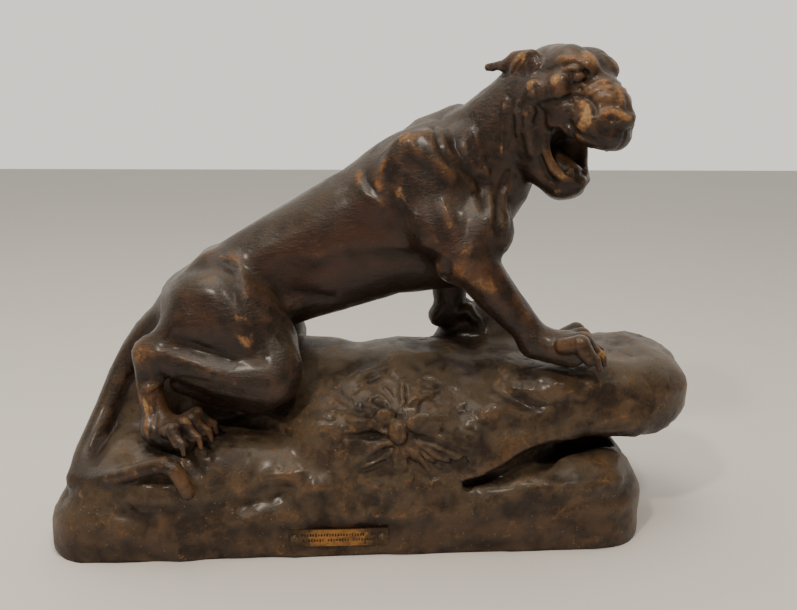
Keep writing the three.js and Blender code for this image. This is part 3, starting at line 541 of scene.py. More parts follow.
def model_rock_front(clay):
    """Folds on the front of the rock, each a line of (x, z, radius) marks, and how far each stands out."""

    def lie(marks, lift):
        return [(x, clay.front_at(x, z) + radius - lift, z, radius) for x, z, radius in marks]

    ridges = [
        ([(102, 113, 12), (122, 109, 11)], 6),
        ([(130, 106, 10), (148, 103, 10)], 6),
        ([(162, 107, 11), (196, 104, 12), (226, 102, 12)], 4),
        ([(48, 98, 13), (88, 89, 12), (126, 88, 9)], 7),
        ([(-92, 96, 9), (-80, 102, 9), (-40, 102, 10), (-8, 106, 9)], 3),
        ([(-60, 64, 10), (-40, 60, 9)], 5),
        ([(-190, 50, 9), (-160, 50, 9)], 3),
        ([(96, 45, 10), (138, 50, 12), (172, 56, 12), (204, 56, 11)], 5),
        ([(88, 74, 9), (127, 90, 10), (166, 99, 9)], 8),
    ]
    build_up(clay, floor, [(lie(marks, lift), 8) for marks, lift in ridges])
    hollows = [
        ([(80, 59, 4), (112, 66, 7), (145, 73, 10), (178, 79, 13), (204, 79, 13)], 11),
        ([(-200, 42, 6), (-182, 31, 6)], 3),
        ([(-156, 38, 9), (-134, 38, 9)], 3),
        ([(-100, 48, 7), (-76, 58, 8), (-56, 66, 6)], 4),
    ]
    for joints in [lie(marks, -depth) for marks, depth in hollows]:
        clay.carve(floor.limb([(x, y - 2 * radius, z, radius) for x, y, z, radius in joints]), 8)
    x, y, z = PLATE_BACK
    flat, deep = (PLATE_LENGTH / 2 + 9, 20, PLATE_HEIGHT / 2 + 6), 20.4
    clay.add(floor.slab((x, y + deep, z), flat, 5, 5), 4)
    clay.carve(floor.slab((x, y - deep, z), flat, 5, 5), 4)


def model_plant(clay):
    """The plant pressed into the front of the mound: a bud with leaves and blades lying on the rock."""
    bud = (23, 104)
    leaves = [
        (bud, (82, 82), 24), (bud, (54, 69), 12), (bud, (24, 74), 12), (bud, (-6, 74), 18),
        (bud, (-18, 82), 12), ((12, 112), (-28, 100), 15), (bud, (2, 121), 14), (bud, (60, 112), 24),
        ((24, 112), (28, 136), 7), ((32, 120), (60, 130), 8), ((6, 144), (-22, 134), 9),
    ]
    lying = []
    for start, end, width in leaves:
        joints = []
        for share, radius in ((0.1, 0.25), (0.55, 0.5), (1, 0.12)):
            x = start[0] + (end[0] - start[0]) * share
            z = start[1] + (end[1] - start[1]) * share
            joints.append((x, clay.front_at(x, z) + 0.5, z, radius * width))
        lying.append((joints, 2.5, 0.38))
    bud_y = clay.front_at(*bud)
    build_up(clay, floor, lying)
    clay.add(floor.ball((bud[0], bud_y - 3, bud[1]), (8.5, 9, 10.5)), 2)


def surface_of(clay):
    """One closed surface through the clay's samples: a corner in each cell that the surface crosses."""
    inside = clay.values < 0
    nx, ny, nz = clay.count
    seen = [inside[i : nx - 1 + i, j : ny - 1 + j, k : nz - 1 + k] for i, j, k in CORNERS]
    crossed = np.logical_or.reduce(seen) & ~np.logical_and.reduce(seen)
    cells = np.argwhere(crossed)
    number = np.full(crossed.shape, -1, np.int32)
    number[crossed] = np.arange(len(cells))
    corner = {o: clay.values[tuple((cells + o).T)] for o in CORNERS}
    total = np.zeros((len(cells), 3))
    hits = np.zeros(len(cells))
    for start in CORNERS:
        for way in range(3):
            if start[way]:
                continue
            end = tuple(v + (n == way) for n, v in enumerate(start))
            a, b = corner[start], corner[end]
            cuts = (a < 0) != (b < 0)
            share = np.where(cuts, a / np.where(cuts, a - b, 1), 0)
            spot = np.tile(np.array(start, float), (len(cells), 1))
            spot[:, way] += share
            total[cuts] += spot[cuts]
            hits += cuts
    points = clay.low + (cells + total / hits[:, None]) * clay.step
    quads = []
    for way in range(3):
        ahead = tuple(slice(1, None) if n == way else slice(1, -1) for n in range(3))
        back = tuple(slice(0, -1) if n == way else slice(1, -1) for n in range(3))
        leaves, enters = inside[back] & ~inside[ahead], ~inside[back] & inside[ahead]
        u, v = [(1, 2), (2, 0), (0, 1)][way]
        for mask, order in ((leaves, (0, 1, 2, 3)), (enters, (3, 2, 1, 0))):
            cell = np.argwhere(mask) + [0 if n == way else 1 for n in range(3)]
            ring = []
            for du, dv in ((-1, -1), (0, -1), (0, 0), (-1, 0)):
                near = cell.copy()
                near[:, u] += du
                near[:, v] += dv
                ring.append(number[tuple(near.T)])
            quads.append(np.stack([ring[n] for n in order], 1))
    return points, np.concatenate(quads)


def on_side(clay, marks, side):
    """(x, z) marks put on the clay's near face, side -1, or on its far face, side 1."""
    laid = []
    for x, z in marks:
        inside = np.flatnonzero(clay.column(x, z) <= 0)
        if len(inside):
            laid.append((x, clay.low[1] + clay.step * inside[0 if side < 0 else -1], z))
    return laid


# Creases, crests and dents of the rock's front: (x, z) marks, width, height.
ROCK_LINES = [
    ([(-118, 100), (-98, 105), (-78, 109), (-54, 112), (-28, 112)], 5, -1.8),
    ([(-118, 93), (-92, 97), (-66, 100), (-40, 104)], 6, 1.6),
    ([(-25, 101), (-8, 101), (10, 100)], 5, -1.6), ([(-96, 68), (-80, 67), (-62, 65), (-42, 59)], 9, 2.2),
    ([(-50, 70), (-60, 60), (-72, 54), (-84, 48)], 7, -2.0), ([(-178, 37)], 11, -2.2),
    ([(-188, 46), (-172, 40), (-158, 36), (-143, 48)], 5, 1.6), ([(-130, 42)], 12, -2.2),
    ([(-108, 34), (-84, 30), (-60, 38)], 8, 1.2),
    ([(103, 122), (117, 117), (130, 113), (143, 114), (155, 118)], 6, 1.7),
    ([(165, 120), (190, 117), (208, 117)], 6, 1.6),
    ([(110, 112), (128, 104), (146, 106), (160, 110), (190, 108)], 8, -1.3),
    ([(225, 101), (198, 97), (180, 95), (158, 94), (141, 91), (117, 82), (92, 71), (72, 63)], 4, 1.7),
    ([(222, 92), (196, 89), (160, 86), (140, 83), (118, 74), (94, 63), (76, 56)], 6, -1.8),
    ([(140, 59), (152, 58), (172, 57), (188, 52)], 6, 1.8), ([(60, 62), (64, 52), (66, 42)], 7, 1.4),
    ([(118, 36), (134, 34), (152, 38)], 9, -1.2), ([(36, 40), (60, 34), (88, 36), (110, 28)], 8, 1.0),
    ([(-238, 34), (-222, 24), (-206, 22)], 8, -1.4), ([(78, 136), (92, 128), (98, 118)], 6, -1.4),
    ([(-30, 128), (-14, 120), (-4, 118)], 6, -1.2), ([(200, 128), (214, 126), (228, 118)], 7, 1.2),
]
# The plant on the rock: rims, veins, stems and the shadows between its leaves.
PLANT_LINES = [
    ([(34, 101), (50, 98), (66, 92), (80, 84)], 4.5, -3.0), ([(35, 98), (52, 94), (70, 86)], 3, 1.5),
    ([(36, 96), (50, 89), (66, 79)], 2.8, 1.2), ([(35, 94), (46, 85), (58, 73)], 2.8, 1.2),
    ([(34, 93), (41, 82), (49, 69)], 3, 1.8), ([(44, 94), (57, 88), (70, 80)], 2.6, -1.0),
    ([(41, 90), (52, 82), (62, 74)], 2.6, -1.0), ([(38, 88), (46, 79), (54, 70)], 2.6, -1.0),
    ([(78, 84), (68, 74), (50, 65)], 5, -1.6), ([(28, 121), (27, 128), (28, 136)], 2.6, 1.6),
    ([(32, 121), (33, 128), (32, 135)], 2.6, 1.2), ([(30, 122), (30, 134)], 2.6, -1.0),
    ([(32, 122), (42, 130), (55, 129)], 2.8, 1.8), ([(37, 125), (46, 134), (58, 128)], 2.6, 1.4),
    ([(35, 127), (44, 137), (57, 138)], 2.6, 1.3), ([(34, 119), (46, 124), (57, 122)], 3, -1.4),
    ([(19, 114), (15, 123), (7, 127), (-2, 123)], 2.8, 1.7),
    ([(21, 115), (19, 125), (12, 132)], 2.6, 1.1),
    ([(-16, 133), (-4, 140), (6, 143), (16, 147)], 3.2, 1.9),
    ([(-14, 128), (-2, 134), (10, 138)], 4, -1.5), ([(-20, 113), (0, 109), (13, 102)], 5, 1.8),
    ([(-10, 102), (4, 100), (15, 98)], 4, -2.6), ([(19, 95), (9, 94), (-2, 87), (-12, 79)], 3, 2.0),
    ([(19, 92), (8, 87), (-3, 79)], 3.4, -2.6), ([(18, 90), (8, 81), (-8, 75)], 2.8, 1.5),
    ([(12, 80), (0, 74), (-10, 72)], 4, -1.2), ([(22, 92), (21, 84), (19, 78)], 2.6, 1.3),
    ([(17, 91), (15, 84), (14, 76)], 2.6, 1.2), ([(26, 91), (28, 82), (28, 73)], 2.6, 1.3),
    ([(29, 93), (35, 86), (37, 80)], 2.6, 1.2), ([(24, 90), (24, 76)], 2.6, -1.0),
    ([(31, 88), (32, 76)], 3, -1.2), ([(8, 119), (12, 112)], 2.6, -0.9),
    ([(13, 120), (14, 113)], 2.6, -0.9), ([(19, 110), (18, 99)], 2.6, -0.8),
    ([(23.5, 112), (23.5, 98)], 2.6, -0.8), ([(28, 110), (28.5, 99)], 2.6, -0.8),
]

# Folds and muscles of the trunk, alike on both sides: (x, z) marks, width, height.
TRUNK_LINES = [
    ([(28, 336), (41, 342), (57, 343), (66, 337)], 9.1, 1.4),
    ([(33, 332), (45, 325), (57, 316), (70, 307)], 7.8, 2.3),
    ([(28, 329), (41, 318), (52, 308)], 11.7, -2.3),
    ([(23, 301), (27, 290), (32, 282), (40, 273)], 7.8, 1.8),
    ([(17, 298), (20, 286), (27, 276)], 6.5, -1.3), ([(50, 288), (56, 271), (63, 257)], 7.8, -1.9),
    ([(57, 290), (64, 274), (70, 260)], 7.8, 1.3), ([(68, 278), (74, 269), (77, 258)], 6.5, -1.3),
    ([(-6, 313), (-8, 304), (-4, 296), (4, 290), (15, 281)], 6.5, 1.7),
    ([(-1, 313), (-2, 304), (2, 297), (10, 292)], 6.5, -1.2),
    ([(16, 325), (11, 314), (9, 305), (9, 295)], 6.5, 1.9),
    ([(22, 322), (17, 312), (15, 300)], 7.8, -1.4), ([(-17, 275), (0, 269), (23, 266)], 9.1, -1.1),
    ([(57, 250), (38, 243), (8, 244), (-24, 240), (-52, 229)], 7.8, -1.7),
    ([(52, 257), (30, 251), (2, 252), (-32, 249)], 9, 0.9),
    ([(48, 235), (12, 237), (-12, 235)], 5.2, -0.8),
    ([(-120, 240), (-112, 229), (-107, 216), (-104, 205)], 6.5, -1.2),
    ([(-115, 242), (-107, 231), (-102, 217), (-98, 205)], 6.5, 1.4), ([(-112, 238)], 15.6, 1.1),
    ([(-115, 197), (-107, 197), (-99, 191), (-93, 184)], 9.1, 1.6), ([(-99, 179)], 9.1, 1.2),
    ([(-90, 197), (-78, 191), (-70, 182), (-66, 176)], 6.5, 1.3),
    ([(-83, 203), (-73, 196), (-65, 186), (-61, 177)], 5.2, -1.3), ([(-65, 197)], 13, 2.2),
    ([(-70, 211), (-54, 209), (-28, 205)], 6.5, -2.4),
    ([(-57, 182), (-41, 193), (-28, 199), (-10, 201)], 5.2, 1.4),
    ([(-160, 180), (-146, 176), (-126, 169), (-108, 161)], 7.5, -3.0),
    ([(-178, 169), (-158, 166), (-138, 161), (-118, 151)], 7, 2.0),
    ([(-156, 149), (-138, 147), (-119, 143), (-100, 138)], 5, -2.6),
    ([(-190, 139), (-181, 138), (-170, 144), (-158, 151)], 4, 2.0), ([(-184, 148)], 7.5, -3.0),
    ([(-183, 129), (-181, 112), (-178, 98)], 3.6, 1.5),
    ([(-175, 130), (-173, 112), (-169, 98)], 3.6, -1.3),
    ([(-166, 128), (-164, 112), (-159, 100)], 3.4, 1.2), ([(-110, 186), (-102, 178), (-97, 168)], 6, 2.2),
    ([(-92, 188), (-86, 174), (-84, 160)], 5, -1.8), ([(-145, 205), (-128, 203)], 15.6, -1.8),
    ([(-146, 201), (-139, 209)], 3.6, 0.7), ([(-128, 235), (-122, 215), (-115, 200)], 11.7, 0.8),
    ([(-88, 256), (-68, 266), (-53, 270)], 7.8, -0.8), ([(-79, 241), (-53, 244), (-15, 238)], 7.8, 1.1),
    ([(-53, 252)], 7.8, -1.2), ([(-30, 268), (-24, 256), (-22, 245)], 7.8, 0.7),
    ([(-44, 262), (-40, 250), (-36, 243)], 7.8, 0.7),
]

# Folds of the neck and chest on the near side, and softer ones on the far side.
NECK_LINES = [
    ([(68, 337), (73, 324), (81, 311), (94, 303), (106, 297)], 7.8, -2.3),
    ([(76, 338), (80, 326), (88, 315), (99, 308)], 6.5, 1.6), ([(73, 343), (75, 332)], 4.7, -1.1),
    ([(82, 343), (84, 333), (90, 322)], 4.7, -1.1), ([(92, 343), (95, 331), (99, 321)], 4.7, -1.1),
    ([(78, 343), (80, 332)], 4.7, 0.8), ([(87, 343), (89, 333)], 4.7, 0.8),
    ([(116, 314), (110, 301), (104, 287), (101, 274), (102, 259)], 4.5, -2.4),
    ([(121, 310), (116, 297), (110, 284), (108, 268)], 4.5, 1.7),
    ([(119, 292), (116, 279), (113, 262)], 3.6, -1.8),
    ([(95, 317), (97, 303), (99, 291), (97, 276)], 4.5, 1.7),
    ([(88, 311), (92, 295), (92, 280)], 4.5, -1.5), ([(83, 306), (85, 292), (84, 280)], 5, 1.2),
    ([(90, 262), (100, 254), (106, 245)], 6.5, -1.1),
    ([(47, 346), (50, 334), (55, 323), (63, 314)], 5, 1.3),
    ([(52, 347), (55, 336), (60, 326), (68, 316)], 4, -1.3),
    ([(57, 348), (60, 337), (66, 327), (74, 319)], 4, 1.1),
]

# The near foreleg: the fold over the elbow, the elbow's knob, the forearm and its tendons.
FORELEG_LINES = [
    ([(50, 250), (61, 248), (66, 244)], 5.2, 1.6), ([(57, 234)], 10.4, 1.9),
    ([(64, 246), (64, 236), (62, 226)], 5.2, -1.9),
    ([(67, 243), (75, 231), (88, 223), (101, 220)], 9.1, 1.3),
    ([(72, 226), (86, 217), (98, 208)], 5.2, -1.1), ([(104, 240), (118, 215), (132, 192)], 5.2, 0.8),
    ([(97, 240), (110, 217), (124, 194)], 5.2, -0.7),
]

# Each half of the face, on the head's bench: (x, outward y, z) marks, width, height.
FACE_LINES = [
    ([(19, 26, 22), (25, 24, 24), (34, 22, 25)], 5, 1.4), ([(37, 12, 29)], 10, 0.9),
    ([(26, 28, 19), (32, 27, 22.5), (39, 22, 22), (43, 16, 17)], 3.4, -1.7),
    ([(29, 28, 16), (33, 27, 19), (39, 22, 18.5), (43, 16, 13.5)], 2.6, 1.3),
    ([(29, 28, 13), (34, 26, 10.5), (40, 21, 9.5), (43, 17, 9)], 2.6, 1.0),
    ([(40, 21, 7), (44, 19, 3)], 3, -1.1), ([(26, 32, 10)], 9, 1.1),
    ([(8, 41, -2), (7, 39, 4), (10, 38, 5), (15, 38, 3)], 4, 1.9), ([(11, 41, -3), (11, 40, -9)], 4, 1.8),
    ([(18, 34, -11), (26, 33, -8), (32, 30, -6), (39, 21, -1)], 4, -1.4),
    ([(28, 27, -12), (31, 23, -12), (36, 19, -14)], 4, -1.3),
    ([(64, 21, -13), (58, 20, -6), (52, 19, -2), (46, 20, -1), (39, 22, -1)], 4, -1.8),
    ([(40, 22, -2), (49, 22, -6), (57, 24, -10), (58, 27, -16), (55, 26, -25), (54, 24, -31)], 8, 1.7),
    ([(43, 22, -3), (47, 18, 6), (52, 13, 12), (56, 7, 14)], 3, 0.55),
    ([(44, 22, -2), (49, 18, 5), (54, 13, 10), (60, 6, 12)], 2.6, -0.7),
    ([(47, 22, -6), (52, 17, 3), (57, 12, 8), (61, 8, 10)], 2.8, 0.5),
    ([(49, 21, -4), (55, 17, 2), (60, 12, 5), (64, 8, 7)], 2.6, -0.6),
    ([(52, 22, -8), (58, 17, -1), (62, 13, 3)], 2.8, 0.45),
    ([(60, 2, 12), (66, 3, 6), (71, 5, -2), (73, 8, -7)], 5, 1.1),
    ([(63, 21, -12), (67, 18, -9), (70, 14, -7), (74, 10, -7), (78, 5, -10), (79, 0, -13)], 4.5, 1.5),
    ([(70, 15, -12), (74, 12, -14)], 3.6, -3.0), ([(65, 21, -19), (71, 17, -21), (76, 10, -22)], 6, -1.2),
    ([(74, 12, -18), (78, 7, -19), (79, 0, -20)], 3, -1.2),
    ([(46, 24, -28), (54, 24, -31), (61, 20, -33), (67, 14, -34)], 3.6, 1.2),
    ([(50, 26, -25), (58, 24, -28), (66, 18, -30)], 4, -1.0), ([(66, 19, -27), (70, 15, -28)], 2.2, -0.7),
    ([(40, 25, -20), (46, 25, -25), (50, 22, -31)], 4, -1.3), ([(35, 14, -77)], 7, 0.9),
    ([(20, 27, -44), (24, 25, -52), (29, 21, -60), (36, 14, -66), (42, 6, -67)], 3.5, 0.8),
    ([(18, 24, -50), (24, 22, -62), (30, 18, -71)], 4, -1.1),
    ([(-18, 39, 8), (-17, 40, 13), (-14, 37, 20), (-9, 35, 24), (-2, 31, 27)], 4, 1.7),
    ([(-38, 38, 8), (-28, 37, 5), (-20, 37, 4)], 5, -1.6), ([(5, 17, 32)], 10, 0.7),
    ([(28, 8, 34), (32, 16, 31)], 3, -0.7),
]
# Hair strands on each side of the head: first mark, last mark, how many, spread, width, height.
STRANDS = [
    (((-14, 45, -8), (-10, 44, -44)), ((10, 36, -14), (10, 33, -34)), 8, 3.4, 1.2),
    (((-15, 39, 8), (-8, 36, 22)), ((2, 36, 6), (4, 31, 22)), 5, 3.0, 0.9),
    (((-16, 49, -42), (-14, 47, -56)), ((-2, 43, -42), (-2, 40, -56)), 5, 3.2, 0.9),
]


def carve_lines(clay, lines, side, share=1):
    """Lines on one side of the clay, at a share of their height."""
    for marks, width, height in lines:
        clay.raise_line(on_side(clay, marks, side), width, height * share)


def carve_body_lines(clay):
    for side in SIDES:
        carve_lines(clay, TRUNK_LINES, side)
        carve_lines(clay, NECK_LINES, side, 1 if side < 0 else 0.7)
    carve_lines(clay, FORELEG_LINES, -1)


def carve_rock_lines(clay):
    """The lines of the rock and the plant, once the plant's lobe and petals are on."""
    petals = [
        ((44, 113), (15, 4, 9)),
        ((11.5, 114), (7.5, 3.5, 7)),
        ((33, 86), (4.5, 2.5, 3)),
        ((22, 76), (3.5, 2.5, 4)),
    ]
    for (x, z), half in petals:
        clay.add(floor.ball((x, clay.front_at(x, z), z), half), 3.5)
    carve_lines(clay, ROCK_LINES + PLANT_LINES, -1)


def carve_face_lines(clay):
    """The lines of both halves of the face, the hair at its sides, and the lines down its middle."""

    def placed(marks, side):
        return [HEAD.place((x, y * side, z)) for x, y, z in marks]

    loose = np.random.default_rng(7)
    for side in SIDES:
        for marks, width, height in FACE_LINES:
            clay.raise_line(placed(marks, side), width, height)
        for first, last, count, width, height in STRANDS:
            first, last = np.array(first, float), np.array(last, float)
            for n in range(count):
                strand = first + (last - first) * ((n + loose.uniform(-0.3, 0.3)) / (count - 1))
                strand = strand + loose.uniform(-2.5, 2.5, (2, 3)) * (1, 0, 1)
                middle = strand.mean(0) + (loose.uniform(-2, 2), 0, 0)
                rise = height * (-1) ** n * loose.uniform(0.6, 1.2)
                strand = placed([strand[0], middle, strand[1]], side)
                clay.raise_line(strand, width * loose.uniform(0.8, 1.3), rise)
    clay.raise_line(placed([(6, 1, 38), (20, 0, 33), (34, 0, 27), (48, 0, 18)], 1), 9, -1.8)
    clay.raise_line(placed([(76, 0, -18), (74, 0, -26), (70, 0, -34)], 1), 3, -1.1)


def lattice_noise(points, length, seed):
    """Soft lumps of a given length: values on a repeating lattice from a fixed seed, about -1 to 1."""
    lattice = np.random.default_rng(seed).uniform(-1, 1, (32, 32, 32))
    at = points / length
    cell = np.floor(at).astype(int)
    return weighed(lattice, cell, eased(at - cell))


def blurred(values, reach):
    """The mean of a grid over a box that reaches so many samples each way."""
    for way in range(3):
        padded = np.pad(values, [(reach + 1, reach) if n == way else (0, 0) for n in range(3)], "edge")
        sums = np.cumsum(padded, way, dtype=np.float64)
        first = np.take(sums, range(0, values.shape[way]), way)
        last = np.take(sums, range(2 * reach + 1, 2 * reach + 1 + values.shape[way]), way)
        values = ((last - first) / (2 * reach + 1)).astype(np.float32)
    return values


def ramp(value, start, end):
    """0 before the start, 1 past the end, softly between."""
    return eased(np.clip((value - start) / (end - start), 0, 1))


def coarser(clay):
    """The same clay on a grid twice as wide."""
    wide = Clay.__new__(Clay)
    wide.low, wide.step = clay.low, clay.step * 2
    wide.values = np.ascontiguousarray(clay.values[::2, ::2, ::2])
    wide.count = np.array(wide.values.shape)
    return wide


def mesh_of(name, points, faces):
    """A mesh from points in millimetres and faces that all have as many corners."""
    mesh = bpy.data.meshes.new(name)
    mesh.vertices.add(len(points))
    mesh.vertices.foreach_set("co", (points * MILLIMETRE).astype(np.float32).ravel())
    mesh.loops.add(faces.size)
    mesh.loops.foreach_set("vertex_index", faces.astype(np.int32).ravel())
    mesh.polygons.add(len(faces))
    mesh.polygons.foreach_set("loop_start", np.arange(0, faces.size, faces.shape[1], dtype=np.int32))
    mesh.update(calc_edges=True)
    return mesh


def points_of(mesh):
    """A mesh's points in millimetres."""
    flat = np.empty(len(mesh.vertices) * 3, np.float32)
    mesh.vertices.foreach_get("co", flat)
    return flat.reshape(-1, 3).astype(float) / MILLIMETRE


def put_on_view(name, mesh):
    piece = bpy.data.objects.new(name, mesh)
    bpy.context.scene.collection.objects.link(piece)
    return piece


def smooth(mesh):
    mesh.polygons.foreach_set("use_smooth", [True] * len(mesh.polygons))


def made_plain(piece, name):
    """The piece with its modifiers worked into a plain mesh."""
    graph = bpy.context.evaluated_depsgraph_get()
    graph.update()
    mesh = bpy.data.meshes.new_from_object(piece.evaluated_get(graph), depsgraph=graph)
    mesh.name = name
    piece.modifiers.clear()
    piece.data = mesh
    return mesh


# Where the dark coat is rubbed through to the ochre clay on the near side: x, y, z, reach, strength.
RUBBED_SPOTS = [
    (27, -41, 338, 9, 0.8), (44, -20, 345, 10, 0.8), (11, -37, 314, 7, 0.9), (9, -39, 300, 7, 1.0),
    (-7, -26, 307, 7, 0.9), (24, -46, 297, 6, 0.9), (30, -48, 285, 5, 0.7), (10, -41, 259, 8, 0.9),
    (36, -50, 257, 8, 1.0), (77, -70, 255, 7, 0.9), (-17, -38, 275, 9, 0.6), (57, -60, 234, 6, 0.5),
    (71, -68, 233, 9, 1.0), (84, -68, 224, 9, 1.0), (97, -70, 221, 8, 0.9), (-118, -26, 240, 7, 1.0),
    (-107, -27, 240, 9, 1.0), (-99, -69, 179, 7, 1.2), (-107, -68, 196, 7, 0.5),
    (-184, -60, 166, 10, 1.0), (-180, -68, 126, 13, 0.9), (-178, -74, 108, 11, 0.8),
    (-156, -94, 112, 6, 0.7), (-149, -84, 114, 6, 0.6), (171, -84, 177, 8, 1.0), (176, -72, 179, 7, 0.8),
    (187, -90, 167, 7, 0.9), (189, -77, 167, 6, 0.8), (139, -64, 191, 7, 0.7), (-147, -99, 62, 7, 1.0),
]
# The same on the face, on the head's bench.
RUBBED_FACE = [
    (37, -12, 29, 9, 1.1), (28, -24, 24, 8, 0.88), (25, -33, 9, 7, 0.88), (44, -22, -3, 7, 0.88),
    (50, -23, -6, 9, 0.88), (55, -25, -13, 9, 1), (57, -26, -20, 8, 0.79), (53, -24, -29, 7, 0.7),
    (53, -12, 12, 9, 0.88), (60, -11, 5, 9, 0.7), (66, -5, 6, 9, 0.79), (70, -15, -7, 8, 1.1),
    (77, -6, -10, 8, 0.97), (33, -14, -67, 7, 0.7), (35, -14, -78, 6, 0.53), (22, -22, -50, 5, 0.35),
    (5, -17, 32, 9, 0.62), (-10, -36, 20, 9, 0.62), (-12, -47, -14, 8, 0.7), (-9, -45, -52, 8, 0.79),
    (40, 14, 27, 9, 0.79), (8, -40, 2, 5, 0.7),
]
# Broad areas where the coat is thin and the clay shows through it brown.
BRONZED_FACE = [
    (55, -14, 0, 30, 0.85), (32, -18, 24, 20, 0.65), (22, -32, 6, 18, 0.45), (5, -15, 34, 18, 0.5),
    (28, -20, -62, 16, 0.4), (-14, -40, 14, 14, 0.6), (28, 0, -46, 24, 0.7),
]
# The same on the body and the rock; the broad spot on the shoulder blade at (54, -48, 298) is a painted
# sheen, not thin coat.
BRONZED_AND_SHEEN_SPOTS = [
    (30, -36, 330, 22, 0.41), (12, -40, 302, 18, 0.41), (54, -48, 298, 34, 0.3), (84, -68, 226, 28, 0.61),
    (118, -62, 200, 22, 0.41), (160, -72, 165, 30, 0.54), (-184, -60, 166, 16, 0.61),
    (-170, -68, 122, 26, 0.61), (-140, -80, 96, 26, 0.41), (-112, -26, 240, 14, 0.61),
    (-152, -99, 70, 16, 0.54), (-228, -40, 110, 22, 0.27), (206, -86, 88, 40, 0.41),
    (100, -96, 80, 34, 0.34), (26, -100, 96, 34, 0.34), (-60, -96, 62, 30, 0.27),
]
# Broad reddish brown areas of the coat.
REDDENED_SPOTS = [
    (-50, -40, 232, 44, 1.0), (-90, -50, 222, 26, 0.8), (0, -42, 258, 42, 0.8), (30, -40, 240, 30, 0.7),
    (60, -66, 262, 24, 0.7), (90, -68, 222, 26, 0.9), (-140, -62, 203, 20, 0.7),
    (-170, -66, 125, 24, 0.7), (108, -34, 300, 18, 0.6), (-150, -66, 178, 20, 0.6),
]


def spread_over(points, spots):
    """How far each point lies within any of the spots, 0 to their strength."""
    most = np.zeros(len(points))
    for x, y, z, reach, strength in spots:
        away = np.linalg.norm(points - (x, y, z), axis=1) / reach
        most = np.maximum(most, strength * (1 - ramp(away, 0.3, 1.25)))
    return most


def set_field(mesh, name, values):
    field = mesh.attributes.new(name, "FLOAT", "POINT")
    field.data.foreach_set("value", np.clip(values, 0, 1).astype(np.float32))


def rockiness(points, tiger, rock):
    """1 on the rock and 0 on the tiger, softly between."""
    return ramp(tiger.sample(points) - rock.sample(points), -1.0, 1.5)


def mark_surface(mesh, clay, tiger, rock):
    """Keeps on the mesh's points where it stands out, where it is sunk or rubbed, and what it is."""
    points = points_of(mesh)
    wide = coarser(clay)
    small = wide.sample(points, blurred(np.clip(wide.values, -6, 6), 1))
    large = wide.sample(points, blurred(np.clip(wide.values, -16, 16), 4))
    set_field(mesh, "raised", ramp(small, 0.12, 0.75) + 0.5 * ramp(large, 0.9, 3.2))
    set_field(mesh, "sunk", ramp(-small, 0.1, 0.7) + 0.6 * ramp(-large, 0.6, 3.0))
    set_field(mesh, "rocky", rockiness(points, tiger, rock))
    marked = {"rubbed": (RUBBED_SPOTS, RUBBED_FACE), "thin_coat_and_sheen": (BRONZED_AND_SHEEN_SPOTS, BRONZED_FACE)}
    for name, (body, face) in {**marked, "reddened": (REDDENED_SPOTS, [])}.items():
        set_field(mesh, name, spread_over(points, body + [HEAD.place(spot) for spot in face]))


def carve_plate_bed(clay):
    """The shallow bed in the rock's front foot that the title plate lies in."""
    x, y, z = PLATE_BACK
    room, deep = (PLATE_LENGTH / 2 + 0.4, 10, PLATE_HEIGHT / 2 + 0.35), 10.2
    clay.carve(floor.slab((x, y - deep, z), room, 1, 0.6), 0.8)


def model_cast(step):
    """The whole cast in clay, with the tiger's and the rock's own clay."""
    tiger, rock = Clay(step), Clay(step)
    model_tiger(tiger)
    carve_body_lines(tiger)
    carve_face_lines(tiger)
    model_rock(rock)
    carve_rock_lines(rock)
    whole = Clay(step)
    whole.values = soft_min(tiger.values, rock.values, 5)
    carve_plate_bed(whole)
    part, ways = whole.window(whole.low, np.array(BLOCK_HIGH))
    whole.values[part] = np.maximum(whole.values[part], -ways[2])
    return whole, tiger, rock


def largest_island(points, quads):
    """Drops any bubble that is closed off inside the cast."""
    parent = np.arange(len(points))
    for _ in range(400):
        least = parent[quads].min(1)
        before = parent.copy()
        np.minimum.at(parent, quads.ravel(), np.repeat(least, 4))
        parent = parent[parent]
        if np.array_equal(before, parent):
            break
    names, counts = np.unique(parent, return_counts=True)
    keep = parent == names[np.argmax(counts)]
    number = np.cumsum(keep) - 1
    return points[keep], number[quads[keep[quads[:, 0]]]]


def close_flaws(mesh):
    """Takes out the few places where the thinned surface touches itself, and closes the skin over them."""
    skin = bmesh.new()
    skin.from_mesh(mesh)
    for _ in range(6):
        flawed = {corner for edge in skin.edges if len(edge.link_faces) != 2 for corner in edge.verts}
        if not flawed:
            break
        around = {face for corner in flawed for face in corner.link_faces}
        bmesh.ops.delete(skin, geom=list(around), context="FACES")
        rims = [edge for edge in skin.edges if len(edge.link_faces) == 1]
        bmesh.ops.holes_fill(skin, edges=rims, sides=0)
    bmesh.ops.triangulate(skin, faces=skin.faces[:])
    bmesh.ops.recalc_face_normals(skin, faces=skin.faces[:])
    skin.to_mesh(mesh)
    skin.free()


def uneven(points, rocky, unevenness):
    """How far modelled clay stands out at each point: lumps and ripples, and on rock crests and pits."""
    lumps = 0.5 * lattice_noise(points, 19, 3) + 0.3 * lattice_noise(points, 8, 4)
    ripples = 0.28 * lattice_noise(points, 4.2, 8)
    crests = (0.45 - np.abs(lattice_noise(points * (0.7, 1, 1.25), 30, 6))) * 2.2
    pits = -np.maximum(lattice_noise(points, 5, 5) - 0.45, 0) * 1.2
    shift = lumps * (0.6 + 1.0 * rocky) + ripples * (0.6 + 0.6 * rocky) + (pits + crests) * rocky
    return unevenness * shift * ramp(points[:, 2], 0, 3)


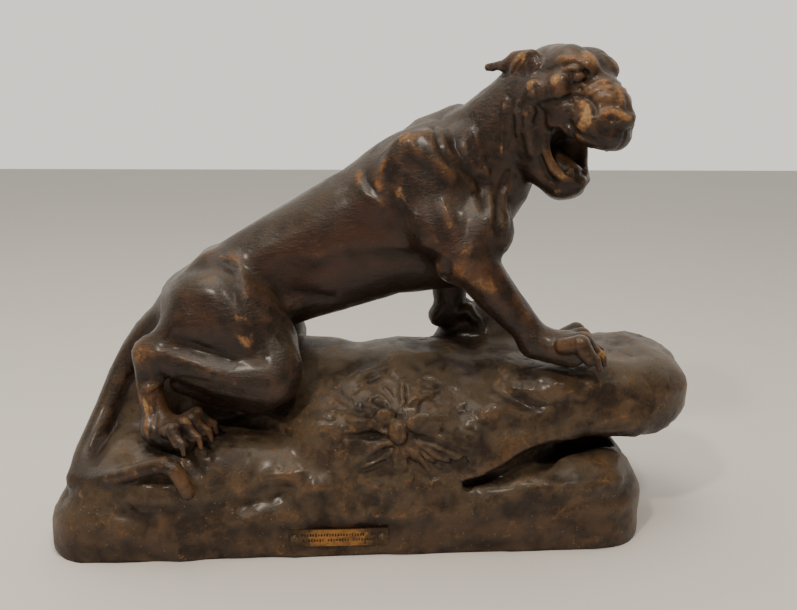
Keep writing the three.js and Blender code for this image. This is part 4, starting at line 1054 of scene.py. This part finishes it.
def thin_out(piece, points, share):
    """Thins the piece's triangles to a share of them, with care on the face, the near paws and the plant."""
    # Middle, the distances from it at which the care starts and ends to fade, and how much there is.
    places = [
        (HEAD.place((25, 0, -15)), 62, 90, 1),
        (FORE_PAW, 36, 52, 0.6),
        (HIND_PAW, 32, 48, 0.6),
        ((26, -90, 102), 52, 70, 0.6),
    ]
    care = 0
    for middle, near, far, most in places:
        away = np.linalg.norm(points - middle, axis=1)
        care = np.maximum(care, most * (1 - ramp(away, near, far)))
    levels = np.round(care * 10).astype(int)
    group = piece.vertex_groups.new(name="care")
    for level in range(1, 11):
        chosen = np.flatnonzero(levels == level)
        if len(chosen):
            group.add(chosen.tolist(), level / 10, "REPLACE")
    thin = piece.modifiers.new("thin", "DECIMATE")
    thin.ratio = share
    thin.use_collapse_triangulate = True
    thin.vertex_group = "care"
    thin.invert_vertex_group = True
    thin.vertex_group_factor = 0.6


def cast_mesh(step, triangles, unevenness):
    """The cast as a piece: its surface made uneven, thinned and marked for its finish."""
    whole, tiger, rock = model_cast(step)
    points, quads = largest_island(*surface_of(whole))
    points = whole.settle(points, 2)
    shift = uneven(points, rockiness(points, tiger, rock), unevenness)
    points = points + whole.outward(points) * shift[:, None]
    nearly_down = points[:, 2] < 0.35 * step
    points[:, 2] = np.where(nearly_down, 0, points[:, 2])
    piece = put_on_view("tiger_and_rock", mesh_of("sculpture_cast", points, quads))
    thin_out(piece, points, triangles / (2 * len(quads)))
    mesh = made_plain(piece, "tiger_and_rock")
    piece.vertex_groups.clear()
    close_flaws(mesh)
    mark_surface(mesh, whole, tiger, rock)
    smooth(mesh)
    return piece


class Nodes:
    """The nodes of one material, world or group, with short ways to add and join them."""

    def __init__(self, tree):
        self.tree = tree

    def join(self, value, socket):
        """Links a socket from another one, or gives it a value."""
        if isinstance(value, bpy.types.NodeSocket):
            self.tree.links.new(value, socket)
        else:
            socket.default_value = value

    def feed(self, node, inputs):
        """Joins values to a node's inputs by their names or numbers."""
        for name, value in inputs.items():
            self.join(value, node.inputs[name])

    def add(self, kind, inputs=None, **properties):
        """A new node with its properties set and its inputs fed."""
        node = self.tree.nodes.new(kind)
        for name, value in properties.items():
            setattr(node, name, value)
        self.feed(node, inputs or {})
        return node

    def maths(self, operation, *values, clamp=False):
        inputs = dict(enumerate(values))
        return self.add("ShaderNodeMath", inputs, operation=operation, use_clamp=clamp).outputs[0]

    def plus(self, a, b):
        return self.maths("ADD", a, b)

    def minus(self, a, b):
        return self.maths("SUBTRACT", a, b)

    def over(self, a, b):
        return self.maths("DIVIDE", a, b)

    def times(self, a, b, clamp=False):
        return self.maths("MULTIPLY", a, b, clamp=clamp)

    def times_plus(self, a, b, c, clamp=False):
        return self.maths("MULTIPLY_ADD", a, b, c, clamp=clamp)

    def between(self, value, start, end, low=0.0, high=1.0):
        """Value taken softly from low to high as it goes from start to end."""
        inputs = {"Value": value, "From Min": start, "From Max": end, "To Min": low, "To Max": high}
        return self.add("ShaderNodeMapRange", inputs, interpolation_type="SMOOTHSTEP").outputs[0]

    def blend(self, share, under, over):
        """One colour laid over another by a share. The node's colour sockets go by number."""
        node = self.add("ShaderNodeMix", {0: share}, data_type="RGBA", clamp_factor=True)
        for number, colour in ((6, under), (7, over)):
            self.join((*colour, 1) if isinstance(colour, tuple) else colour, node.inputs[number])
        return node.outputs[2]

    def grain(self, place, size, detail=3.0, roughness=0.55, distortion=0.0):
        """Soft lumps of a size in metres, 0 to 1."""
        inputs = {"Vector": place, "Scale": 1 / size, "Detail": detail, "Roughness": roughness}
        inputs["Distortion"] = distortion
        return self.add("ShaderNodeTexNoise", inputs).outputs["Fac"]

    def apart(self, place):
        """A place's X, Y and Z."""
        return self.add("ShaderNodeSeparateXYZ", {0: place}).outputs

    def together(self, x=0.0, y=0.0, z=0.0):
        return self.add("ShaderNodeCombineXYZ", {0: x, 1: y, 2: z}).outputs[0]

    def field(self, name):
        return self.add("ShaderNodeAttribute", attribute_name=name).outputs["Fac"]

    def group(self, name, inputs):
        """One of the shared groups, made when it is first asked for."""
        makers = {"Worn Through": worn_through_group, "Shade and Dirt": shade_and_dirt_group}
        shared = bpy.data.node_groups.get(name) or makers[name]()
        return self.add("ShaderNodeGroup", inputs, node_tree=shared).outputs

    def bump(self, shader, height, strength, distance):
        """Relief on the shader, as deep as a distance in metres."""
        bump = self.add("ShaderNodeBump", {"Height": height, "Strength": strength, "Distance": distance})
        self.feed(shader, {"Normal": bump.outputs["Normal"]})


def new_group(name, kind, sockets_in, sockets_out):
    """A node group with named sockets, each (name, type) or (name, type, default)."""
    tree = bpy.data.node_groups.new(name, kind)
    for way, sockets in (("INPUT", sockets_in), ("OUTPUT", sockets_out)):
        for label, sort, *default in sockets:
            socket = tree.interface.new_socket(label, in_out=way, socket_type="NodeSocket" + sort)
            if default:
                socket.default_value = default[0]
    return Nodes(tree), tree.nodes.new("NodeGroupInput").outputs, tree.nodes.new("NodeGroupOutput")


def worn_through_group():
    """Where a coat is rubbed off: on what stands out, in ragged patches."""
    sockets_in = [("Place", "Vector"), ("Exposed", "Float"), ("Patch Size", "Float")]
    nodes, given, result = new_group("Worn Through", "ShaderNodeTree", sockets_in, [("Mask", "Float")])
    scale = nodes.over(1.0, given["Patch Size"])
    inputs = {"Vector": given["Place"], "Scale": scale, "Detail": 6.0, "Roughness": 0.72, "Distortion": 0.6}
    patches = nodes.add("ShaderNodeTexNoise", inputs).outputs["Fac"]
    total = nodes.plus(given["Exposed"], nodes.times(patches, 1.8))
    nodes.feed(result, {"Mask": nodes.between(total, 1.3, 1.9)})
    return nodes.tree


def shade_and_dirt_group():
    """Darkening of what is sunk, used as painted shade in the cast's hollows and as grime in the plate's
    strokes, and dust in small loose flecks near the foot.
    """
    sockets_in = [("Place", "Vector"), ("Sunk", "Float"), ("Fleck Size", "Float")]
    sockets_out = [("Grime", "Float"), ("Flecks", "Float")]
    nodes, given, result = new_group("Shade and Dirt", "ShaderNodeTree", sockets_in, sockets_out)
    place = given["Place"]
    broken = nodes.between(nodes.grain(place, 0.006, 4.0), 0.2, 0.6, 0.55, 1.0)
    scale = nodes.over(1.0, given["Fleck Size"])
    spots = nodes.add("ShaderNodeTexVoronoi", {"Vector": place, "Scale": scale, "Randomness": 1.0}).outputs
    crowd = nodes.between(nodes.grain(place, 0.03, 3.0), 0.35, 0.7)
    low_down = nodes.between(nodes.apart(place)["Z"], 0.01, 0.10, 0.22, 0.04)
    near = nodes.minus(nodes.plus(low_down, nodes.times(crowd, 0.25)), spots["Distance"])
    luck = nodes.add("ShaderNodeSeparateColor", {"Color": spots["Color"]}).outputs["Red"]
    flecks = nodes.times(nodes.between(near, 0.0, 0.1), nodes.maths("GREATER_THAN", luck, 0.9))
    nodes.feed(result, {"Grime": nodes.times(given["Sunk"], broken, clamp=True), "Flecks": flecks})
    return nodes.tree


def new_material(name):
    """A material with a bare Principled shader, and its place in metres."""
    material = bpy.data.materials.new(name)
    material.use_nodes = True
    nodes = Nodes(material.node_tree)
    place = nodes.add("ShaderNodeTexCoord").outputs["Object"]
    return material, nodes, material.node_tree.nodes["Principled BSDF"], place


# Colours of the varnish, the clay under it, the painted grey-green sheen, the dirt, the brass, the floor and
# the light. BLACK_BROWN also serves as painted shade in hollows and under downward faces.
DARK_BROWN = (0.040, 0.0158, 0.0070)
BLACK_BROWN = (0.0125, 0.0054, 0.0029)
BRONZE_BROWN = (0.175, 0.082, 0.030)
ROCK_BROWN = (0.096, 0.058, 0.028)
PAINTED_SHEEN_GREY = (0.074, 0.056, 0.032)
RED_BROWN = (0.050, 0.0138, 0.0050)
OCHRE = (0.31, 0.150, 0.050)
PALE_OCHRE = (0.45, 0.28, 0.13)
RED_OCHRE = (0.22, 0.072, 0.022)
DUST = (0.20, 0.15, 0.095)
AGED_BRASS = ((0.045, 0.028, 0.016), (0.11, 0.062, 0.028))
BRIGHT_BRASS = (0.42, 0.205, 0.065)
BRASS_DIRT = (0.02, 0.013, 0.009)
AGED_NAIL = ((0.055, 0.042, 0.028), (0.14, 0.105, 0.065))
BRIGHT_NAIL = (0.34, 0.22, 0.10)
PALE_FLOOR = ((0.74, 0.71, 0.66), (0.78, 0.75, 0.70))
WARM_LIGHT, CEILING_LIGHT, ROOM_LIGHT = (1, 0.9, 0.78), (1, 0.92, 0.82), (1.0, 0.95, 0.87)


def patinated_terracotta(settings):
    """Dark varnish over fired clay: brown-black, reddish in places, rubbed to ochre, with a painted
    grey-green sheen on upward faces and painted shade in hollows and under downward faces.
    """
    material, nodes, shader, place = new_material("patinated_terracotta")
    plus, times, times_plus = nodes.plus, nodes.times, nodes.times_plus
    between, blend = nodes.between, nodes.blend
    cloud = nodes.grain(place, 0.045, 4.0, 0.6)
    mottle = nodes.grain(place, 0.011, 5.0, 0.62, 0.4)
    fine = nodes.grain(place, 0.0022, 4.0, 0.6)
    raised, rocky = nodes.field("raised"), nodes.field("rocky")
    height = nodes.apart(place)["Z"]
    facing = nodes.apart(nodes.add("ShaderNodeNewGeometry").outputs["Normal"])["Z"]
    upward = between(facing, -0.1, 0.9)

    colour = blend(between(mottle, 0.38, 0.66), BLACK_BROWN, DARK_BROWN)
    stony = times(rocky, between(plus(mottle, cloud), 0.75, 1.25, 0.15, 1.0))
    colour = blend(stony, colour, ROCK_BROWN)
    redness = plus(times(nodes.field("reddened"), 0.7), times(cloud, 0.9))
    redness = plus(redness, times(rocky, between(height, 0.075, 0.02, 0.0, 0.3)))
    redness = plus(redness, times(mottle, 0.35))
    colour = blend(between(redness, 0.72, 1.35, 0, 0.85), colour, RED_BROWN)
    # Painted sheen: upward faces turned grey-green, standing in for the overhead light's reflection.
    painted_sheen = times(upward, between(cloud, 0.3, 0.62, 0.35, 1.0))
    colour = blend(times(painted_sheen, 0.6), colour, PAINTED_SHEEN_GREY)
    # Thin coat showing brown, and the painted sheen on the shoulder blade.
    thin = plus(times(nodes.field("thin_coat_and_sheen"), 0.62), times(raised, 0.3))
    thin = times_plus(rocky, -0.06, plus(thin, times(mottle, 0.7)))
    colour = blend(between(thin, 0.45, 1.3, 0.0, 0.85), colour, BRONZE_BROWN)

    exposed = times(plus(times(raised, 0.42), times(nodes.field("rubbed"), 0.56)), settings.wear)
    worn = nodes.group("Worn Through", {"Place": place, "Exposed": exposed, "Patch Size": 0.008})["Mask"]
    ochre = blend(between(fine, 0.35, 0.7), OCHRE, PALE_OCHRE)
    ochre = blend(between(cloud, 0.42, 0.62, 0.0, 0.7), ochre, RED_OCHRE)
    colour = blend(times(worn, between(fine, 0.25, 0.6, 0.55, 0.85)), colour, ochre)
    # Painted shade: sunk places darkened towards black-brown; light dust flecks near the foot.
    shade_and_dirt = nodes.group("Shade and Dirt", {"Place": place, "Sunk": nodes.field("sunk"), "Fleck Size": 0.0024})
    colour = blend(times(shade_and_dirt["Grime"], 0.75), colour, BLACK_BROWN)
    # Painted shade: faces turning downward darkened to black-brown.
    colour = blend(times(between(facing, 0.12, -0.6), 0.8), colour, BLACK_BROWN)
    colour = blend(times(shade_and_dirt["Flecks"], times_plus(rocky, 0.45, 0.05)), colour, DUST)

    gloss = times_plus(worn, 0.16, between(mottle, 0.3, 0.7, 0.36, 0.58))
    gloss = times_plus(times(rocky, upward), 0.16, gloss)
    gloss = times_plus(shade_and_dirt["Grime"], 0.22, gloss, clamp=True)
    varnish = times_plus(worn, -0.4, between(cloud, 0.3, 0.6, 0.06, 0.32), clamp=True)
    nodes.feed(shader, {"Base Color": colour, "Roughness": gloss, "Coat Weight": varnish})
    nodes.feed(shader, {"IOR": 1.5, "Specular IOR Level": 0.34, "Coat Roughness": 0.22, "Coat IOR": 1.5})

    combed = {"Vector": place, "Rotation": (0, math.radians(38), 0), "Scale": (0.34, 1, 1)}
    combed = nodes.add("ShaderNodeMapping", combed, vector_type="POINT").outputs["Vector"]
    hair = nodes.grain(combed, 0.0026, 3.0, 0.6, 0.3)
    tooled = nodes.grain(place, 0.0045, 3.0, 0.5, 0.8)
    coat = nodes.add("ShaderNodeMix", {"Factor": rocky, "A": hair, "B": tooled}).outputs["Result"]
    relief = times_plus(worn, -0.12, plus(times(coat, 0.55), times(fine, 0.42)))
    nodes.bump(shader, times_plus(shade_and_dirt["Flecks"], 0.12, relief), 0.85, 0.0016)
    return material


def worn_brass():
    """The title plate's brass: brown with age, rubbed bright orange in the middle and along fine scratches,
    darkened in its strokes.
    """
    material, nodes, shader, place = new_material("worn_brass")
    mottle = nodes.grain(place, 0.006, 4.0)
    scratched = nodes.add("ShaderNodeMapping", {"Vector": place, "Scale": (1, 1, 9)}).outputs["Vector"]
    lines = nodes.grain(scratched, 0.004, 3.0)
    exposed = nodes.times_plus(nodes.field("bright"), 0.75, nodes.times(lines, 0.25))
    worn = nodes.group("Worn Through", {"Place": place, "Exposed": exposed, "Patch Size": 0.007})["Mask"]
    colour = nodes.blend(nodes.between(mottle, 0.35, 0.7), *AGED_BRASS)
    colour = nodes.blend(nodes.times(worn, 0.8), colour, BRIGHT_BRASS)
    shade_and_dirt = nodes.group("Shade and Dirt", {"Place": place, "Sunk": nodes.field("stroke"), "Fleck Size": 0.0016})
    colour = nodes.blend(nodes.times(shade_and_dirt["Grime"], 0.9), colour, BRASS_DIRT)
    metal = nodes.between(worn, 0.0, 1.0, 0.45, 0.85)
    gloss = nodes.times_plus(worn, -0.2, 0.58)
    nodes.feed(shader, {"Base Color": colour, "Metallic": metal, "Roughness": gloss})
    nodes.bump(shader, lines, 0.35, 0.0004)
    return material


def nail_brass():
    """The nails' brass: dull and dark, rubbed a little brighter in ragged patches."""
    material, nodes, shader, place = new_material("nail_brass")
    mottle = nodes.grain(place, 0.0022, 4.0)
    worn = nodes.group("Worn Through", {"Place": place, "Exposed": 0.42, "Patch Size": 0.003})["Mask"]
    colour = nodes.blend(nodes.between(mottle, 0.3, 0.7), *AGED_NAIL)
    colour = nodes.blend(nodes.times(worn, 0.7), colour, BRIGHT_NAIL)
    metal = nodes.between(worn, 0, 1, 0.5, 0.85)
    gloss = nodes.between(mottle, 0.3, 0.7, 0.38, 0.6)
    nodes.feed(shader, {"Base Color": colour, "Metallic": metal, "Roughness": gloss})
    nodes.bump(shader, mottle, 0.4, 0.0003)
    return material


def floor_paint():
    """The pale floor."""
    material, nodes, shader, place = new_material("pale_floor")
    colour = nodes.blend(nodes.grain(place, 0.6, 2.0), *PALE_FLOOR)
    nodes.feed(shader, {"Base Color": colour, "Roughness": 0.75})
    return material


def grown(name, build, material, sizes):
    """A piece grown by a geometry node tree with named sizes, worked into a plain mesh."""
    tree = build(material)
    piece = put_on_view(name, bpy.data.meshes.new(name))
    growth = piece.modifiers.new("growth", "NODES")
    growth.node_group = tree
    for item in tree.interface.items_tree:
        if item.in_out == "INPUT" and item.name in sizes:
            growth[item.identifier] = sizes[item.name]
    mesh = made_plain(piece, name)
    shell = bmesh.new()
    shell.from_mesh(mesh)
    bmesh.ops.remove_doubles(shell, verts=shell.verts, dist=1e-6)
    bmesh.ops.recalc_face_normals(shell, faces=shell.faces)
    shell.to_mesh(mesh)
    shell.free()
    bpy.data.node_groups.remove(tree)
    return piece


GEOMETRY = [("Geometry", "Geometry")]


def plate_tree(material):
    """A bowed strip standing on edge, its front stamped with rows of short strokes."""
    stroke_pitch, row_shift, bare_end = 0.0023, 0.0011, 0.0105
    sockets = [
        ("Place", "Vector"),
        ("Length", "Float"),
        ("Height", "Float"),
        ("Thickness", "Float"),
        ("Bow", "Float"),
        ("Stroke Depth", "Float", 0.0003),
        ("Row Pitch", "Float", 0.0046),
    ]
    nodes, given, result = new_group("Stamped Plate", "GeometryNodeTree", sockets, GEOMETRY)
    maths, minus, over, times = nodes.maths, nodes.minus, nodes.over, nodes.times
    length, pitch = given["Length"], given["Row Pitch"]
    size = nodes.together(length, given["Thickness"], given["Height"])
    fine = {"Size": size, "Vertices X": 270, "Vertices Y": 2, "Vertices Z": 50}
    strip = nodes.add("GeometryNodeMeshCube", fine).outputs["Mesh"]
    x, y, z = nodes.apart(nodes.add("GeometryNodeInputPosition").outputs[0])
    share = over(times(x, 2.0), length)
    bowed = times(given["Bow"], minus(1.0, maths("POWER", share, 2.0)))

    def within(value, middle, reach):
        return maths("LESS_THAN", maths("ABSOLUTE", minus(value, middle)), reach)

    row = over(nodes.plus(z, pitch), pitch)
    row_number = maths("FLOOR", row)
    run = over(nodes.times_plus(row_number, row_shift, x), stroke_pitch)
    here = nodes.together(maths("FLOOR", run), row_number)
    luck = nodes.add("ShaderNodeTexWhiteNoise", {"Vector": here}, noise_dimensions="3D").outputs["Value"]
    across = within(maths("FRACT", run), 0.5, 0.24)
    along = within(maths("FRACT", row), 0.5, nodes.times_plus(luck, 0.14, 0.2))
    cut = times(times(across, along), maths("GREATER_THAN", luck, 0.16))
    length_left = minus(times(length, 0.5), maths("ABSOLUTE", x))
    inside = times(within(z, 0.0, pitch), maths("GREATER_THAN", length_left, bare_end))
    stroke = times(times(cut, inside), maths("LESS_THAN", y, 0.0))
    bright = nodes.between(maths("ABSOLUTE", share), 0.35, 0.85, 1.0, 0.0)
    offset = nodes.together(y=minus(times(stroke, given["Stroke Depth"]), bowed))
    shaped = nodes.add("GeometryNodeSetPosition", {"Geometry": strip, "Offset": offset}).outputs[0]
    for name, value in (("stroke", stroke), ("bright", bright)):
        inputs = {"Geometry": shaped, "Name": name, "Value": value}
        kept = nodes.add("GeometryNodeStoreNamedAttribute", inputs, data_type="FLOAT", domain="POINT")
        shaped = kept.outputs[0]
    placed = nodes.add("GeometryNodeTransform", {"Geometry": shaped, "Translation": given["Place"]})
    return finished_tree(nodes, placed.outputs[0], material, result)


# Each level of a nail, from its shaft's point up: share of the head's radius, and of the shaft's length
# below 0 or of the head's height above it.
NAIL_LEVELS = [
    (0.1, -1), (0.26, -0.8), (0.28, 0), (0.94, 0.0), (1.0, 0.12), (0.98, 0.42), (0.9, 0.56), (0.8, 0.58),
    (0.72, 0.46), (0.66, 0.42), (0.6, 0.5), (0.56, 0.68), (0.46, 0.84), (0.32, 0.94), (0.16, 0.99),
    (0.04, 1.0),
]


def nail_tree(material):
    """Two nails with ringed round heads, pushed in along +Y at both ends of the plate."""
    sockets = [
        ("Place", "Vector"),
        ("Apart", "Float"),
        ("Head Radius", "Float", 0.0032),
        ("Head Height", "Float", 0.0014),
        ("Shaft Length", "Float", 0.0062),
    ]
    nodes, given, result = new_group("Ringed Nails", "GeometryNodeTree", sockets, GEOMETRY)
    steps = len(NAIL_LEVELS) - 1
    round_bar = {"Vertices": 40, "Side Segments": steps, "Fill Segments": 1, "Radius": 1.0, "Depth": 1.0}
    bar = nodes.add("GeometryNodeMeshCylinder", round_bar, fill_type="TRIANGLE_FAN").outputs["Mesh"]
    spot = nodes.apart(nodes.add("GeometryNodeInputPosition").outputs[0])
    level = nodes.maths("ROUND", nodes.times(nodes.plus(spot[2], 0.5), float(steps)))
    radius, height = 0.0, 0.0
    for number, (wide, high) in enumerate(NAIL_LEVELS):
        here = nodes.maths("COMPARE", level, float(number), 0.4)
        reach = given["Shaft Length"] if high < 0 else given["Head Height"]
        radius = nodes.times_plus(here, nodes.times(given["Head Radius"], wide), radius)
        height = nodes.times_plus(here, nodes.times(reach, high), height)
    x, z = nodes.times(spot[0], radius), nodes.times(spot[1], radius)
    shape = nodes.together(x, nodes.times(height, -1.0), z)
    nail = nodes.add("GeometryNodeSetPosition", {"Geometry": bar, "Position": shape}).outputs[0]
    half = nodes.together(nodes.times(given["Apart"], 0.5))
    start = nodes.add("ShaderNodeVectorMath", {0: given["Place"], 1: half}, operation="SUBTRACT").outputs[0]
    line = {"Count": 2, "Start Location": start, "Offset": nodes.together(given["Apart"])}
    points = nodes.add("GeometryNodeMeshLine", line, mode="OFFSET").outputs[0]
    nails = nodes.add("GeometryNodeInstanceOnPoints", {"Points": points, "Instance": nail}).outputs[0]
    return finished_tree(nodes, nails, material, result)


def finished_tree(nodes, geometry, material, result):
    """The tree with real meshes for instances, and the material."""
    real = nodes.add("GeometryNodeRealizeInstances", {"Geometry": geometry}).outputs[0]
    dressed = nodes.add("GeometryNodeSetMaterial", {"Geometry": real, "Material": material}).outputs[0]
    nodes.feed(result, {"Geometry": dressed})
    return nodes.tree


def length_of(name, description, default, **limits):
    """A setting in metres."""
    label = {"name": name, "description": description}
    return bpy.props.FloatProperty(default=default, unit="LENGTH", **label, **limits)


def strength_of(name, description):
    """A setting that is 1 as the tiger was made."""
    return bpy.props.FloatProperty(name=name, description=description, default=1.0, min=0, subtype="FACTOR")


class TigerCastSettings(bpy.types.PropertyGroup):
    grid_step: length_of("Grid Step", "Distance between the clay's samples", 0.00125, min=0.001)
    triangles: bpy.props.IntProperty(
        name="Triangles",
        description="Triangles that the cast is thinned to",
        default=196000,
        min=2000,
        max=199000,
    )
    unevenness: strength_of("Unevenness", "How uneven the modelled clay is")
    wear: strength_of("Wear", "How far the dark coat is rubbed through")


class TitlePlateSettings(bpy.types.PropertyGroup):
    back: bpy.props.FloatVectorProperty(
        name="Place",
        description="Middle of the plate's back",
        default=[v * MILLIMETRE for v in PLATE_BACK],
        subtype="TRANSLATION",
        unit="LENGTH",
    )
    length: length_of("Length", "Length of the plate", PLATE_LENGTH * MILLIMETRE)
    height: length_of("Height", "Height of the plate", PLATE_HEIGHT * MILLIMETRE)
    thickness: length_of("Thickness", "Thickness of the plate", 0.0016)
    bow: length_of("Bow", "How far the plate's middle stands out", 0.001)
    nail_inset: length_of("Nail Inset", "Each nail's distance from the plate's end", 0.0048)


class StageSettings(bpy.types.PropertyGroup):
    floor_size: length_of("Floor Size", "Width of the pale floor", 8.0)
    lamp_power: bpy.props.FloatProperty(
        name="Lamp Power", description="Power of the main lamp", default=12.0, unit="POWER"
    )


class MakeTigerCast(bpy.types.Operator):
    """Models the tiger and its rock, cast in one piece of dark varnished terracotta"""

    bl_idname = "tiger.make_cast"
    bl_label = "Tiger and Rock"

    def execute(self, context):
        settings = context.scene.tiger_cast
        step = settings.grid_step / MILLIMETRE
        triangles = settings.triangles
        piece = cast_mesh(step, triangles, settings.unevenness)
        piece.data.materials.append(patinated_terracotta(settings))
        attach(piece, "root")
        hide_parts("sculpture")
        return {"FINISHED"}


class MakeTitlePlate(bpy.types.Operator):
    """Makes the bowed brass title plate with its rows of strokes"""

    bl_idname = "tiger.make_plate"
    bl_label = "Title Plate"

    def execute(self, context):
        settings = context.scene.tiger_plate
        x, y, z = settings.back
        sizes = {
            "Place": (x, y - settings.thickness / 2, z),
            "Length": settings.length,
            "Height": settings.height,
            "Thickness": settings.thickness,
            "Bow": settings.bow,
        }
        piece = grown("title_plate_strip", plate_tree, worn_brass(), sizes)
        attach(piece, "root")
        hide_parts("title_plate")
        return {"FINISHED"}


# How far the nails' heads stand off the plate, in metres.
NAIL_GAP = 0.0003


class MakePlateNails(bpy.types.Operator):
    """Makes the two ring-headed nails that hold the title plate"""

    bl_idname = "tiger.make_nails"
    bl_label = "Plate Nails"

    def execute(self, context):
        settings = context.scene.tiger_plate
        x, y, z = settings.back
        apart = settings.length - 2 * settings.nail_inset
        bow = settings.bow * (1 - (apart / settings.length) ** 2)
        sizes = {"Place": (x, y - bow - settings.thickness - NAIL_GAP, z), "Apart": apart}
        piece = grown("ringed_nails", nail_tree, nail_brass(), sizes)
        smooth(piece.data)
        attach(piece, "root")
        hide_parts("plate_nail_left", "plate_nail_right")
        return {"FINISHED"}


# Lamps: name, place, share of the lamp power, size and colour.
LAMPS = [
    ("main", (-0.75, -1.25, 1.55), 1.0, 0.14, WARM_LIGHT),
    ("second", (0.35, -1.1, 1.7), 0.7, 0.14, WARM_LIGHT),
    ("ceiling", (-0.35, -0.3, 1.9), 1.5, 1.2, CEILING_LIGHT),
]
# The photo's camera: its place, its turn in degrees, and its focal length in pixels of the photo's width.
CAMERA_PLACE = (-0.0283, -0.8002, 0.3726)
CAMERA_SIDE, CAMERA_RISE, CAMERA_LEAN = -4, 12.7, 0.45
FOCAL_LENGTH, PHOTO_WIDTH = 930, 797


class MakeStage(bpy.types.Operator):
    """Lays the pale floor and sets the lamps and the camera"""

    bl_idname = "tiger.make_stage"
    bl_label = "Floor, Lamps and Camera"

    def execute(self, context):
        settings = context.scene.tiger_stage
        sheet = bmesh.new()
        bmesh.ops.create_grid(sheet, x_segments=1, y_segments=1, size=settings.floor_size / 2)
        mesh = bpy.data.meshes.new("floor")
        sheet.to_mesh(mesh)
        sheet.free()
        mesh.materials.append(floor_paint())
        ground = put_on_view("floor", mesh)
        context.scene.world = soft_room()
        for name, place, share, size, colour in LAMPS:
            add_lamp(name, place, settings.lamp_power * share, size, colour)
        add_camera(context.scene)
        return {"FINISHED"}


def soft_room():
    """A pale room behind the tiger, dim in front of it."""
    world = bpy.data.worlds.new("soft_room")
    world.use_nodes = True
    nodes = Nodes(world.node_tree)
    forward = nodes.apart(nodes.add("ShaderNodeTexCoord").outputs["Generated"])["Y"]
    strength = nodes.between(forward, -0.15, 0.45, 0.10, 1.15)
    nodes.feed(world.node_tree.nodes["Background"], {"Color": (*ROOM_LIGHT, 1), "Strength": strength})
    return world


def add_lamp(name, place, power, size, colour):
    light = bpy.data.lights.new(name, "AREA")
    light.energy, light.size, light.color = power, size, colour
    lamp = bpy.data.objects.new(name, light)
    lamp.location = place
    lamp.rotation_euler = (Vector((0, 0, 0.2)) - lamp.location).to_track_quat("-Z", "Y").to_euler()
    bpy.context.scene.collection.objects.link(lamp)


def add_camera(scene):
    """The view: from the front, a little to the left, looking slightly down."""
    side, rise, lean = math.radians(CAMERA_SIDE), math.radians(CAMERA_RISE), math.radians(CAMERA_LEAN)
    back = Vector((math.sin(side) * math.cos(rise), -math.cos(side) * math.cos(rise), math.sin(rise)))
    camera = bpy.data.objects.new("camera", bpy.data.cameras.new("camera"))
    camera.data.sensor_width = 36
    camera.data.lens = FOCAL_LENGTH * camera.data.sensor_width / PHOTO_WIDTH
    camera.location = CAMERA_PLACE
    camera.rotation_mode = "QUATERNION"
    camera.rotation_quaternion = back.to_track_quat("Z", "Y") @ Euler((0, 0, lean)).to_quaternion()
    scene.collection.objects.link(camera)
    scene.camera = camera


OPERATORS = (MakeTigerCast, MakeTitlePlate, MakePlateNails, MakeStage)
SETTINGS = {
    "tiger_cast": TigerCastSettings,
    "tiger_plate": TitlePlateSettings,
    "tiger_stage": StageSettings,
}


class TigerPanel(bpy.types.Panel):
    """Lists the tiger's pieces and their sizes"""

    bl_idname = "VIEW3D_PT_tiger"
    bl_label = "Roaring Tiger"
    bl_space_type = "VIEW_3D"
    bl_region_type = "UI"
    bl_category = "Tiger"

    def draw(self, context):
        for name, settings in SETTINGS.items():
            column = self.layout.column(align=True)
            for prop in settings.__annotations__:
                column.prop(getattr(context.scene, name), prop)
        for operator in OPERATORS:
            self.layout.operator(operator.bl_idname)


def register():
    for kind in (*SETTINGS.values(), *OPERATORS, TigerPanel):
        bpy.utils.register_class(kind)
    for name, settings in SETTINGS.items():
        setattr(bpy.types.Scene, name, bpy.props.PointerProperty(type=settings))


def unregister():
    for name in SETTINGS:
        delattr(bpy.types.Scene, name)
    for kind in reversed((*SETTINGS.values(), *OPERATORS, TigerPanel)):
        bpy.utils.unregister_class(kind)


def main():
    register()
    for operator in OPERATORS:
        family, name = operator.bl_idname.split(".")
        getattr(getattr(bpy.ops, family), name)()


if __name__ == "__main__":
    main()
